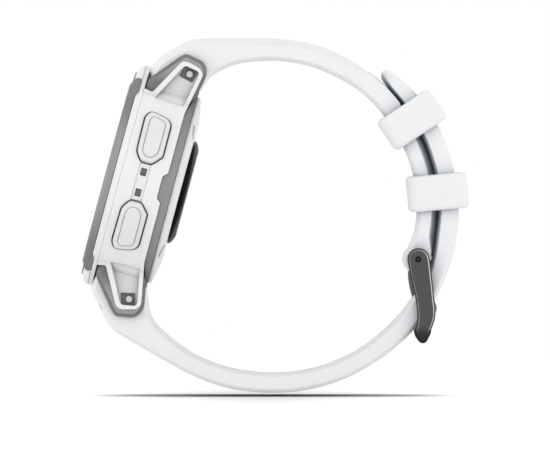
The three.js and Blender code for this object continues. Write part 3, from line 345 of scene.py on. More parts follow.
class Solid:
    """A closed mesh object in millimetres. Minus cuts, | joins and & keeps what two solids share."""

    def __init__(self, skin: Skin, matrix: Matrix | None = None) -> None:
        """Makes the object.

        Args:
            skin: Its points and faces.
            matrix: Where it goes, if not where its points are.
        """
        placed = skin.moved(matrix) if matrix is not None else skin
        mesh = bpy.data.meshes.new("solid")
        mesh.from_pydata(placed.points.tolist(), [], placed.faces)
        shell = bmesh.new()
        shell.from_mesh(mesh)
        bmesh.ops.remove_doubles(shell, verts=shell.verts, dist=1e-5)
        bmesh.ops.recalc_face_normals(shell, faces=shell.faces)
        shell.to_mesh(mesh)
        shell.free()
        self.object = bpy.data.objects.new("solid", mesh)
        bpy.context.scene.collection.objects.link(self.object)

    def _combined(self, other: "Solid", operation: str) -> "Solid":
        """Applies a Boolean modifier with the other solid, which is used up."""
        modifier = self.object.modifiers.new("combine", "BOOLEAN")
        modifier.operation, modifier.solver, modifier.object = operation, "EXACT", other.object
        graph = bpy.context.evaluated_depsgraph_get()
        result = bpy.data.meshes.new_from_object(self.object.evaluated_get(graph))
        self.object.modifiers.clear()
        spent = self.object.data
        self.object.data = result
        bpy.data.meshes.remove(spent)
        bpy.data.objects.remove(other.object)
        return self

    def __sub__(self, other: "Solid") -> "Solid":
        """Cuts the other solid out of this one."""
        return self._combined(other, "DIFFERENCE")

    def __or__(self, other: "Solid") -> "Solid":
        """Joins the other solid to this one."""
        return self._combined(other, "UNION")

    def __and__(self, other: "Solid") -> "Solid":
        """Keeps what lies in both solids."""
        return self._combined(other, "INTERSECT")

    def without(self, others: Iterable["Solid"]) -> "Solid":
        """Cuts several solids out."""
        for other in others:
            self = self - other
        return self

    def with_all(self, others: Iterable["Solid"]) -> "Solid":
        """Joins several solids to this one."""
        for other in others:
            self = self | other
        return self


def on_case(skin: Skin) -> Solid:
    """A solid given in case coordinates."""
    return Solid(skin, CASE)


def turned(profile: Points, count: int = 256) -> Solid:
    """A solid turned about the case axis from a profile of [radius, depth]."""
    return on_case(revolved(profile, count))


def ring(inner: float, outer: float, front: float, back: float, edge: float = 0.0) -> Solid:
    """A ring of rectangular section about the case axis, its edges rounded."""
    corners = [(inner, front), (outer, front), (outer, back), (inner, back)]
    return turned(softened(corners, edge, 4) if edge else np.array(corners, float), 192)


def disc(radius: float, front: float, back: float, edge: float = 0.0) -> Solid:
    """A disc about the case axis, its rim rounded."""
    return on_case(facing(circle(radius, 192), front, back, edge))


def rod(radius: float, x: Pair, y: float, z: float, edge: float = 0.0, count: int = 40) -> Solid:
    """A rod along the case axis, between two depths."""
    return on_case(facing(circle(radius, count, y, z), *x, edge))


def profiled(outline: Points, y: Pair = ALL_Y) -> Solid:
    """A solid along Y whose outline, seen from the side, is [depth, height]."""
    return on_case(across(outline, *sorted(y)))


def about_axis(turn: float) -> Matrix:
    """The case's frame turned about its axis by an angle in radians."""
    return CASE @ Matrix.Rotation(turn, 4, "X")


def case_point(depth: float, height: float) -> Pair:
    """A point of the case's middle plane, as [x, z] of the watch."""
    x, _, z = CASE @ Vector((depth, 0, height))
    return x, z


# ---------------------------------------------------------------------------------------------
# Shader sockets as Python expressions
# ---------------------------------------------------------------------------------------------


class Sock:
    """One output socket. Arithmetic on it adds Math nodes; numbers may stand on either side."""

    def __init__(self, tree: "Tree", socket: bpy.types.NodeSocket) -> None:
        """Wraps a socket of a tree."""
        self.tree, self.socket = tree, socket

    def _math(self, operation: str, *values: "Value", limit: bool = False) -> "Sock":
        """Adds a Math node on the values."""
        return self.tree.add(
            "ShaderNodeMath", {"operation": operation, "use_clamp": limit}, dict(enumerate(values))
        )

    def __add__(self, other: "Value") -> "Sock":
        """Sum."""
        return self._math("ADD", self, other)

    __radd__ = __add__

    def __mul__(self, other: "Value") -> "Sock":
        """Product."""
        return self._math("MULTIPLY", self, other)

    __rmul__ = __mul__

    def __sub__(self, other: "Value") -> "Sock":
        """Difference."""
        return self._math("SUBTRACT", self, other)

    def __rsub__(self, other: "Value") -> "Sock":
        """Difference from a number."""
        return self._math("SUBTRACT", other, self)

    def __pow__(self, other: "Value") -> "Sock":
        """Power."""
        return self._math("POWER", self, other)

    def __abs__(self) -> "Sock":
        """Size without its sign."""
        return self._math("ABSOLUTE", self)

    def sine(self) -> "Sock":
        """Sine of an angle in radians."""
        return self._math("SINE", self)

    def angle_to(self, other: "Value") -> "Sock":
        """Angle whose tangent is this over the other."""
        return self._math("ARCTAN2", self, other)

    def limited(self) -> "Sock":
        """Kept between 0 and 1."""
        return self._math("ADD", self, 0.0, limit=True)

    def most(self, other: "Value") -> "Sock":
        """The larger of two values."""
        return self._math("MAXIMUM", self, other)

    def rise(self, low: float, high: float) -> "Sock":
        """Goes smoothly from 0 at low to 1 at high."""
        return self.tree.add(
            "ShaderNodeMapRange",
            {"interpolation_type": "SMOOTHSTEP", "clamp": True},
            {"Value": self, "From Min": low, "From Max": high},
        )


Value = Sock | float
Input = Sock | float | tuple


class Space(Enum):
    """The coordinates that a finish is worked out in."""

    WATCH = "watch"
    CASE = "case"


class Tree:
    """The node tree of a material or of the world, with one method that adds every node."""

    def __init__(self, owner: bpy.types.Material | bpy.types.World) -> None:
        """Starts with the nodes that a new owner has."""
        owner.use_nodes = True
        self.owner = owner
        self.nodes, self.links = owner.node_tree.nodes, owner.node_tree.links

    @classmethod
    def named(cls, name: str) -> "Tree":
        """The tree of a new material, with a Principled shader on its surface."""
        return cls(bpy.data.materials.new(name))

    def add(
        self, kind: str, settings: dict | None = None, inputs: dict | None = None, output: int | str = 0
    ) -> Sock:
        """Adds a node.

        Args:
            kind: The node's type.
            settings: Its own settings, which are set first.
            inputs: Values or sockets, by the input's name or number.
            output: Which output to return.

        Returns:
            That output.
        """
        node = self.nodes.new(kind)
        for key, value in (settings or {}).items():
            setattr(node, key, value)
        for key, value in (inputs or {}).items():
            self.feed(node.inputs[key], value)
        return Sock(self, node.outputs[output])

    def feed(self, target: bpy.types.NodeSocket, value: Input) -> None:
        """Links a socket to an input, or writes a constant on it."""
        if isinstance(value, Sock):
            self.links.new(value.socket, target)
        else:
            target.default_value = value

    def place(self, space: Space, stretch: tuple[float, float, float] = (1, 1, 1)) -> Sock:
        """Object coordinates in millimetres, in the watch's or the case's frame, stretched by factors."""
        inputs: dict = {"Vector": self.add("ShaderNodeTexCoord", output="Object"), "Scale": (1 / MM,) * 3}
        if space is Space.CASE:
            offset = -(Matrix.Rotation(-CASE_TILT, 3, "Y") @ Vector(CASE_POSITION))
            inputs |= {"Location": tuple(offset), "Rotation": (0, -CASE_TILT, 0)}
        here = self.add("ShaderNodeMapping", {}, inputs)
        if stretch != (1, 1, 1):
            here = self.add("ShaderNodeMapping", {}, {"Vector": here, "Scale": stretch})
        return here

    def split(self, vector: Sock) -> tuple[Sock, Sock, Sock]:
        """The three coordinates of a vector."""
        first = self.add("ShaderNodeSeparateXYZ", {}, {0: vector})
        node = first.socket.node
        return first, Sock(self, node.outputs[1]), Sock(self, node.outputs[2])

    def noise(self, place: Sock, size: float, detail: float = 2.0, roughness: float = 0.5) -> Sock:
        """Noise from 0 to 1 whose features are about the size given, in millimetres."""
        return self.add("ShaderNodeTexNoise", {}, {
            "Vector": place, "Scale": 1 / size, "Detail": detail, "Roughness": roughness,
        })

    def blend(self, factor: Value, first: Input, second: Input, kind: str = "MIX") -> Sock:
        """Mixes two colours. A Mix node has its colours at inputs 6 and 7 and the result at output 2."""
        settings = {"data_type": "RGBA", "blend_type": kind}
        return self.add("ShaderNodeMix", settings, {0: factor, 6: colour4(first), 7: colour4(second)}, 2)

    def tinted(self, colour: Input, tint: Colour) -> Sock:
        """A colour multiplied by another."""
        return self.blend(1.0, colour, tint, "MULTIPLY")

    def rounded_normal(self, radius: float) -> Sock:
        """The surface's normal with its sharp edges rounded by a radius in millimetres."""
        return self.add("ShaderNodeBevel", {"samples": 6}, {"Radius": radius * MM})

    def edges(self, rounded: Sock, gain: float) -> Sock:
        """A mask that is 1 along sharp edges: how far the rounded normal turns from the true one."""
        true = self.add("ShaderNodeNewGeometry", output="Normal")
        same = self.add("ShaderNodeVectorMath", {"operation": "DOT_PRODUCT"}, {0: rounded, 1: true}, "Value")
        return ((1 - same) * gain).limited()

    def rim_wear_and_light(self, space: Space, rounded: Sock, band: Band | None) -> Sock:
        """A mask of worn edges whose tone is partly wear and partly painted light: sharp edges, and a band
        where a piece's side face falls away.

        Args:
            space: The coordinates to work in.
            rounded: The rounded normal.
            band: Distances from the middle plane, where the band begins, is full, is full still and ends.

        Returns:
            The mask.
        """
        mask = self.edges(rounded, 4.0)
        if band is not None:
            away = abs(self.split(self.place(space))[1])
            mask = mask.most(away.rise(*band[:2]) * (1 - away.rise(*band[2:])))
        return mask

    def open_share(self, reach: float) -> Sock:
        """How open a place is, from 0 in a deep gap to 1, judged over a reach in millimetres."""
        open_sky = self.add("ShaderNodeAmbientOcclusion", {"samples": 12}, {"Distance": reach * MM}, "AO")
        return open_sky**1.5

    def turned_away(self, ends: Pair) -> Sock:
        """1 where a turned piece faces straight to its side, 0 where it has turned to its ends."""
        return abs(self.split(self.place(Space.CASE))[1]).rise(*ends)

    def bump(self, height: Sock, depth: float, normal: Sock | None) -> Sock:
        """A normal that follows a height from 0 to 1, over a depth in millimetres."""
        inputs: dict = {"Height": height, "Distance": depth * MM, "Strength": 1.0}
        if normal is not None:
            inputs["Normal"] = normal
        return self.add("ShaderNodeBump", {}, inputs)

    def finish(self, **sockets: Input) -> bpy.types.Material:
        """Feeds the Principled shader, with underscores for the spaces in its sockets' names."""
        for key, value in sockets.items():
            name = key.replace("_", " ").replace("Ior", "IOR")
            if isinstance(value, tuple) and name.endswith(("Color", "Tint")):
                value = colour4(value)
            self.feed(self.nodes["Principled BSDF"].inputs[name], value)
        return self.owner


def colour4(value: Input) -> Input:
    """Adds alpha 1 to a plain colour."""
    return (*value, 1.0) if isinstance(value, tuple) and len(value) == 3 else value


# ---------------------------------------------------------------------------------------------
# Finishes
# ---------------------------------------------------------------------------------------------


def scaled(colour: Colour, factor: float) -> Colour:
    """A colour made lighter or darker."""
    return tuple(min(1.0, c * factor) for c in colour)


@dataclass(frozen=True)
class Finish:
    """What every finish has."""

    name: str
    colour: Colour
    roughness: float
    edge: float = 0.1  # radius that sharp edges are rounded by, in millimetres
    space: Space = Space.CASE
    ends: Pair | None = None  # painted shade: distances along Y where a turned piece is darkest and where it isn't darkened
    painted_end_shade: float = 0.75

    def material(self) -> bpy.types.Material:
        """Builds the material."""
        raise NotImplementedError

    def with_painted_light(self, tree: Tree, colour: Sock) -> Sock:
        """Paints shade on a turned piece towards its ends, where it turns away from the light."""
        if self.ends is None:
            return colour
        return tree.blend(tree.turned_away(self.ends), tree.tinted(colour, (self.painted_end_shade,) * 3), colour)


@dataclass(frozen=True)
class Moulded(Finish):
    """Plastic or rubber out of a mould: an eroded grain, faint mottling, edges rubbed smoother, and painted
    shade deep in gaps.
    """

    grain: float = 0.16
    depth: float = 0.006
    mottle: float = 0.03
    # tone along sharp edges and the band, partly wear and partly painted light: lighter is a painted
    # highlight, darker painted shade
    edge_tone: float = 0.97
    sheen: float = 0.0
    specular: float = 0.5
    band: Band | None = None
    painted_gap_shade: Colour = (0.32, 0.33, 0.35)  # painted shade: share of the colour that is left deep in a gap
    reach: float = 2.5
    shaded_from: Pair | None = None  # along X, where the painted gap shade begins and where it is in full

    def material(self) -> bpy.types.Material:
        """Builds the material."""
        tree = Tree.named(self.name)
        place = tree.place(self.space)
        grain = tree.noise(place, self.grain, 3.0, 0.6)
        cloud = tree.noise(place, 6.0, 3.0)
        rounded = tree.rounded_normal(self.edge)
        rim = tree.rim_wear_and_light(self.space, rounded, self.band)
        ground = tree.blend(cloud, scaled(self.colour, 1 - self.mottle), scaled(self.colour, 1 + self.mottle))
        colour = tree.blend(rim, ground, scaled(self.colour, self.edge_tone))
        colour = self.with_painted_light(tree, colour)
        open_share = tree.open_share(self.reach)
        if self.shaded_from is not None:
            open_share = open_share.most(1 - tree.split(place)[0].rise(*self.shaded_from))
        # Painted shade: the colour is darker where the place is closed in, as deep in gaps.
        colour = tree.blend(open_share, tree.tinted(colour, self.painted_gap_shade), colour)
        rough = (grain - 0.5) * 0.12 + (cloud - 0.5) * 0.1 + self.roughness - rim * 0.1
        return tree.finish(
            Base_Color=colour, Roughness=rough.limited(), Normal=tree.bump(grain, self.depth, rounded),
            Sheen_Weight=self.sheen, Specular_IOR_Level=self.specular,
        )


@dataclass(frozen=True)
class Brushed(Finish):
    """Metal or metal-filled plastic brushed about the case axis, along Y or along the watch's height."""

    metallic: float = 1.0
    streak: float = 0.05
    contrast: float = 0.25
    depth: float = 0.004
    # tone along sharp edges, partly wear and partly painted light: lighter is a painted highlight, darker
    # painted shade
    edge_tone: float = 1.5
    around: bool = False
    stretch: tuple[float, float, float] = (1.0, 1.0, 0.06)
    band: Band | None = None

    def material(self) -> bpy.types.Material:
        """Builds the material: noise drawn out along the brushing gives the streaks."""
        tree = Tree.named(self.name)
        cloud = tree.noise(tree.place(self.space), 4.0, 3.0)
        if self.around:
            depth, y, height = tree.split(tree.place(self.space))
            radius = (y * y + height * height) ** 0.5
            turn = height.angle_to(y)
            place = tree.add("ShaderNodeCombineXYZ", {}, {0: depth, 1: radius, 2: turn * 0.9})
        else:
            place = tree.place(self.space, self.stretch)
        streak = tree.noise(place, self.streak, 4.0, 0.7)
        rounded = tree.rounded_normal(self.edge)
        rim = tree.rim_wear_and_light(self.space, rounded, self.band)
        low, high = scaled(self.colour, 1 - self.contrast), scaled(self.colour, 1 + self.contrast)
        ground = tree.blend(streak * 0.7 + cloud * 0.3, low, high)
        colour = self.with_painted_light(tree, tree.blend(rim, ground, scaled(self.colour, self.edge_tone)))
        rough = (streak - 0.5) * 0.25 + (cloud - 0.5) * 0.1 + self.roughness - rim * 0.1
        return tree.finish(
            Base_Color=colour, Roughness=rough.limited(), Metallic=self.metallic,
            Normal=tree.bump(streak, self.depth, rounded),
        )


@dataclass(frozen=True)
class LugPolymer(Moulded):
    """Grey polymer with a painted highlight on the lugs' flat side faces towards their tips."""

    face: Pair = (11.5, 11.6)
    tip: Pair = (17.2, 20.6)
    tip_highlight: Colour = (0.37, 0.37, 0.372)

    def with_painted_light(self, tree: Tree, colour: Sock) -> Sock:
        """Lays the tips' painted highlight over the turned piece's painted shade."""
        colour = super().with_painted_light(tree, colour)
        _, y, height = tree.split(tree.place(self.space))
        away = abs(y)
        flat = away.rise(*self.face) * (1 - away.rise(self.face[1] + 0.06, self.face[1] + 0.12))
        return tree.blend(flat * abs(height).rise(*self.tip), colour, self.tip_highlight)


@dataclass(frozen=True)
class Gunmetal(Brushed):
    """Dark brushed metal with painted shade on its bevels and its foot, and a painted highlight line where
    bevel and face meet.
    """

    # Painted light, by distance from the middle plane: the highlight line's band, and where the bevel's
    # painted shade ends.
    arris: Band = (10.76, 10.83, 10.92, 10.98)
    face: Pair = (10.9, 10.98)
    painted_bevel_shade: float = 0.5
    foot: Pair = (-22.4, -20.9)
    painted_foot_shade: float = 0.3
    left_highlight: Colour = (0.24, 0.24, 0.24)
    right_highlight: Colour = (0.5, 0.5, 0.5)

    def with_painted_light(self, tree: Tree, colour: Sock) -> Sock:
        """Lays the painted shade of bevels and foot and the painted highlight line over the metal. The line
        is brighter on the right.
        """
        _, y, z = tree.split(tree.place(self.space))
        away, above = abs(y), z.rise(*self.foot)
        shade = (away.rise(*self.face) * (1 - self.painted_bevel_shade) + self.painted_bevel_shade) * (
            above * (1 - self.painted_foot_shade) + self.painted_foot_shade
        )
        facing_right, _, _ = tree.split(tree.add("ShaderNodeNewGeometry", output="Normal"))
        line = away.rise(*self.arris[:2]) * (1 - away.rise(*self.arris[2:])) * above
        bright = tree.blend(facing_right.rise(-0.4, 0.4), self.left_highlight, self.right_highlight)
        return tree.blend(line, tree.blend(shade, (0.0, 0.0, 0.0), colour), bright)


@dataclass(frozen=True)
class Glass(Finish):
    """A clear pane: mostly see-through, with a reflection that grows to its edges."""

    def material(self) -> bpy.types.Material:
        """Builds the material."""
        tree = Tree.named(self.name)
        smear = tree.noise(tree.place(self.space), 5.0, 4.0)
        tree.finish(Base_Color=self.colour, Roughness=(smear * 0.06 + self.roughness), Specular_IOR_Level=0.5)
        clear = tree.add("ShaderNodeBsdfTransparent", {}, {"Color": (0.94, 0.95, 0.95, 1.0)})
        view = tree.add("ShaderNodeFresnel", {}, {"IOR": 1.5})
        coated = Sock(tree, tree.nodes["Principled BSDF"].outputs[0])
        mixed = tree.add("ShaderNodeMixShader", {}, {0: (view * 1.1 + 0.02).limited(), 1: clear, 2: coated})
        tree.feed(tree.nodes["Material Output"].inputs["Surface"], mixed)
        return tree.owner


@dataclass(frozen=True)
class SensorGlass(Finish):
    """The black window of the pulse sensor: lamps and photo sensors show faintly behind it."""

    ring_radius: float = 5.4
    lamps: tuple[Band, ...] = (  # y, height, half width and half height
        (0.0, 0.0, 1.15, 1.15), (3.2, 0.0, 0.7, 1.0), (-3.2, 0.0, 0.7, 1.0), (0.0, 3.2, 1.0, 0.7),
        (0.0, -3.2, 1.0, 0.7),
    )

    def material(self) -> bpy.types.Material:
        """Builds the material: a mask of small soft squares, and a thin ring round them."""
        tree = Tree.named(self.name)
        place = tree.place(self.space)
        _, y, height = tree.split(place)
        mask: Value = 0.0
        for at_y, at_z, half_y, half_z in self.lamps:
            away = (abs(y - at_y) - half_y).most(abs(height - at_z) - half_z)
            mask = (1 - away.rise(-0.08, 0.02)) + mask
        radius = (y * y + height * height) ** 0.5
        line = 1 - abs(radius - self.ring_radius).rise(0.06, 0.14)
        smear = tree.noise(place, 2.5, 3.0)
        inner = tree.blend(smear, (0.03, 0.045, 0.035), (0.05, 0.03, 0.028))
        colour = tree.blend((mask + line * 0.5).limited(), self.colour, inner)
        return tree.finish(Base_Color=colour, Roughness=smear * 0.05 + self.roughness, Specular_IOR_Level=0.3)


@dataclass(frozen=True)
class SensorRim(Finish):
    """The sensor's frame: satin dark grey on its dome, and glossy black on the walls that face the sides, a
    painted dark reflection.
    """

    # The walls' black is a painted dark reflection.
    wall: Colour = (0.004, 0.004, 0.0045)
    top: float = 14.4
    fall: float = 0.0095

    def material(self) -> bpy.types.Material:
        """Builds the material. The black wall, a painted reflection, ends at depth top - fall * height *
        height.
        """
        tree = Tree.named(self.name)
        place = tree.place(self.space)
        depth, _, height = tree.split(place)
        dome = (height * height * self.fall + depth).rise(self.top - 0.06, self.top + 0.12)
        grain = tree.noise(place, 0.12, 3.0, 0.6)
        rounded = tree.rounded_normal(self.edge)
        satin = tree.blend(grain, scaled(self.colour, 0.85), scaled(self.colour, 1.15))
        worn = tree.blend(tree.edges(rounded, 4.0), satin, scaled(self.colour, 1.5))
        return tree.finish(
            Base_Color=tree.blend(dome, self.wall, worn), Roughness=dome * 0.25 + 0.12 + grain * 0.06,
            Specular_IOR_Level=0.05, Normal=tree.bump(grain, 0.003, rounded),
        )


@dataclass(frozen=True)
class Panel(Finish):
    """A reflective display: a fine grid of pixels over a pale ground."""

    pitch: float = 0.17

    def material(self) -> bpy.types.Material:
        """Builds the material: two sine waves crossed make the pixel grid."""
        tree = Tree.named(self.name)
        place = tree.place(self.space)
        _, y, height = tree.split(place)
        wave = 2 * math.pi / self.pitch
        lines = (y * wave).sine().most((height * wave).sine()).rise(0.75, 1.0)
        cloud = tree.noise(place, 7.0, 2.0)
        ground = tree.blend(cloud, scaled(self.colour, 0.95), scaled(self.colour, 1.05))
        return tree.finish(
            Base_Color=tree.blend(lines * 0.35, ground, scaled(self.colour, 0.5)),
            Roughness=cloud * 0.08 + self.roughness,
        )


@dataclass(frozen=True)
class Circuit(Finish):
    """A circuit board: tracks under green lacquer, and small pads."""

    cells_per_mm: float = 0.9

    def material(self) -> bpy.types.Material:
        """Builds the material: Voronoi cell edges are the tracks, their centres the pads."""
        tree = Tree.named(self.name)
        place = tree.place(self.space)
        edge, dot = (
            tree.add(
                "ShaderNodeTexVoronoi", {"feature": feature, "distance": distance},
                {"Vector": place, "Scale": self.cells_per_mm},
            )
            for feature, distance in (("DISTANCE_TO_EDGE", "EUCLIDEAN"), ("F1", "CHEBYCHEV"))
        )
        track, pad = 1 - edge.rise(0.03, 0.06), 1 - dot.rise(0.1, 0.14)
        ground = tree.blend(track, self.colour, scaled(self.colour, 1.8))
        return tree.finish(
            Base_Color=tree.blend(pad, ground, (0.75, 0.7, 0.55)), Metallic=pad * 0.9,
            Roughness=pad * -0.2 + self.roughness, Normal=tree.bump(track, 0.02, None),
        )


# The white plastics are darkened deep in gaps as painted shade; the ring and the back cover much less.
WHITE_PLASTIC = Moulded("white_plastic", (0.838, 0.841, 0.848), 0.42, edge=0.12, reach=3.2)
RING_PLASTIC = replace(WHITE_PLASTIC, name="ring_plastic", painted_gap_shade=(0.85, 0.85, 0.86))
BUTTON_PLASTIC = Moulded("button_plastic", (0.77, 0.775, 0.78), 0.4, edge=0.08, grain=0.12)
# Bluish painted shade deep in gaps, from x 13 on only: in the groove between the strap's layers, under the
# keepers and by the buckle.
WHITE_SILICONE = Moulded(
    "white_silicone", (0.85, 0.855, 0.865), 0.6, edge=0.2, space=Space.WATCH, grain=0.22, depth=0.008,
    mottle=0.02, edge_tone=1.0, sheen=0.08, specular=0.4, painted_gap_shade=(0.55, 0.585, 0.63), reach=3.0,
    shaded_from=(13.0, 17.0),
)
# Painted shade on the lugs' bevel band, at sharp edges and towards the band's ends, and a painted highlight
# towards the lug tips.
GREY_POLYMER = LugPolymer(
    "grey_polymer", (0.262, 0.262, 0.263), 0.5, edge=0.14, grain=0.2, mottle=0.08, edge_tone=0.9,
    band=(10.7, 10.9, 11.45, 11.58), ends=(11.0, 19.5), painted_end_shade=0.68, painted_gap_shade=(0.9, 0.91, 0.93),
)
# A dark grey put in the slit between the bezel's ring and the lugs, as painted shade.
SLIT_SHADE_GREY = Moulded("slit_shade_grey", (0.13, 0.13, 0.131), 0.6, edge=0.03, grain=0.1, painted_gap_shade=(0.7, 0.7, 0.7))
# The grey caps get painted shade towards their ends and along their sharp edges.
BEZEL_GREY = Brushed(
    "bezel_grey", (0.288, 0.288, 0.29), 0.45, edge=0.25, metallic=0.1, contrast=0.14, edge_tone=0.6,
    around=True, ends=(15.0, 19.5), painted_end_shade=0.66,
)
DARK_PLASTIC = Moulded(
    "dark_plastic", (0.03, 0.03, 0.031), 0.35, edge=0.1, grain=0.1, depth=0.003, edge_tone=1.6, specular=0.3,
)
BLACK_RUBBER = Moulded("black_rubber", (0.018, 0.018, 0.018), 0.7, edge=0.05, grain=0.1)
# The ears get painted shade on bevels and foot and a painted highlight line, as Gunmetal does.
BUCKLE_METAL = Gunmetal(
    "buckle_metal", (0.066, 0.066, 0.065), 0.42, edge=0.1, space=Space.WATCH, metallic=0.6, contrast=0.2,
    edge_tone=1.2, stretch=(1.0, 1.0, 0.05),
)
TONGUE_METAL = Brushed(
    "tongue_metal", (0.12, 0.12, 0.118), 0.4, space=Space.WATCH, metallic=0.6, contrast=0.2,
)
# A lighter copy of the buckle's metal for the ridge, as a painted highlight.
RIDGE_HIGHLIGHT_METAL = Brushed("ridge_highlight_metal", (0.3, 0.3, 0.3), 0.4, space=Space.WATCH, metallic=0.5, contrast=0.15)
WINDOW = Brushed("window", (0.115, 0.118, 0.122), 0.3, edge=0.05, metallic=0.2, contrast=0.12, edge_tone=0.7)
STEEL = Brushed("steel", (0.55, 0.56, 0.57), 0.3, edge=0.05, stretch=(1.0, 0.08, 1.0))
PIN_STEEL = Brushed(
    "pin_steel", (0.62, 0.63, 0.64), 0.5, edge=0.08, metallic=0.3, contrast=0.06, edge_tone=0.8,
)
DARK_STEEL = Brushed("dark_steel", (0.05, 0.05, 0.05), 0.4, edge=0.04, metallic=0.5, stretch=(1.0, 0.1, 1.0))
SCREW_STEEL = Brushed("screw_steel", (0.42, 0.42, 0.43), 0.35, edge=0.04, metallic=0.9, around=True)
GOLD = Brushed("gold", (0.83, 0.62, 0.27), 0.22, edge=0.04, contrast=0.12, edge_tone=1.1)
CLEAR_GLASS = Glass("clear_glass", (0.02, 0.02, 0.02), 0.03, edge=0.1)
RIM_BLACK = SensorRim("rim_black", (0.05, 0.05, 0.051), 0.4, edge=0.1)
SENSOR_BLACK = SensorGlass("sensor_black", (0.006, 0.006, 0.008), 0.06)
DISPLAY = Panel("display_ground", (0.4, 0.44, 0.39), 0.35)
INK = Panel("display_ink", (0.015, 0.018, 0.02), 0.35)
BOARD = Circuit("board", (0.02, 0.12, 0.05), 0.5)
FOIL = Brushed(
    "foil", (0.6, 0.62, 0.65), 0.35, metallic=0.85, contrast=0.08, edge_tone=1.1, stretch=(1.0, 0.3, 0.3),
)


@cache
def material_of(finish: Finish) -> bpy.types.Material:
    """The material of a finish, built once."""
    return finish.material()


# ---------------------------------------------------------------------------------------------
# The bench: where finished pieces go
# ---------------------------------------------------------------------------------------------


@dataclass
class Bench:
    """Puts finished pieces on their bodies and reports them."""

    bodies: dict[str, str] = field(default_factory=dict)
    slots: dict[str, str] = field(default_factory=dict)

    def __post_init__(self) -> None:
        """Reads which body and which material slot each CAD node has."""
        record = frame["record"]
        for body, nodes in record["behaviour"]["bodies"].items():
            self.bodies.update({node: body for node in nodes})
        self.slots = {row["node"]: row["material_slot"] for row in record["subparts"]}

    def mount(self, name: str, solid: Solid, node: str, finish: Finish, crease: float = 32.0) -> None:
        """Finishes a piece: in metres, at the origin and on its body.

        Args:
            name: The piece's name.
            solid: Its shape in millimetres.
            node: The CAD node that it stands for, or goes with if another piece stands for it.
            finish: Its finish.
            crease: The angle in degrees past which an edge is shaded sharp.
        """
        piece = solid.object
        mesh = piece.data
        mesh.transform(Matrix.Scale(MM, 4))
        piece.name = mesh.name = name
        mesh.materials.clear()
        mesh.materials.append(material_of(finish))
        mesh.polygons.foreach_set("use_smooth", np.ones(len(mesh.polygons), bool))
        mesh.polygons.foreach_set("material_index", np.zeros(len(mesh.polygons), np.int32))
        mesh.set_sharp_from_angle(angle=math.radians(crease))
        mesh.update()
        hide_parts(node)
        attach(piece, self.bodies[node])
        log.info("%s: %d faces, stands for %s", name, len(mesh.polygons), node)

    def dress(self, node: str, finish: Finish) -> None:
        """Gives a CAD node that stays in view its finish."""
        mesh = frame["nodes"][node].data
        mesh.materials.clear()
        mesh.materials.append(material_of(finish))
        log.info("%s: CAD solid kept", node)


# ---------------------------------------------------------------------------------------------
# Buttons
# ---------------------------------------------------------------------------------------------


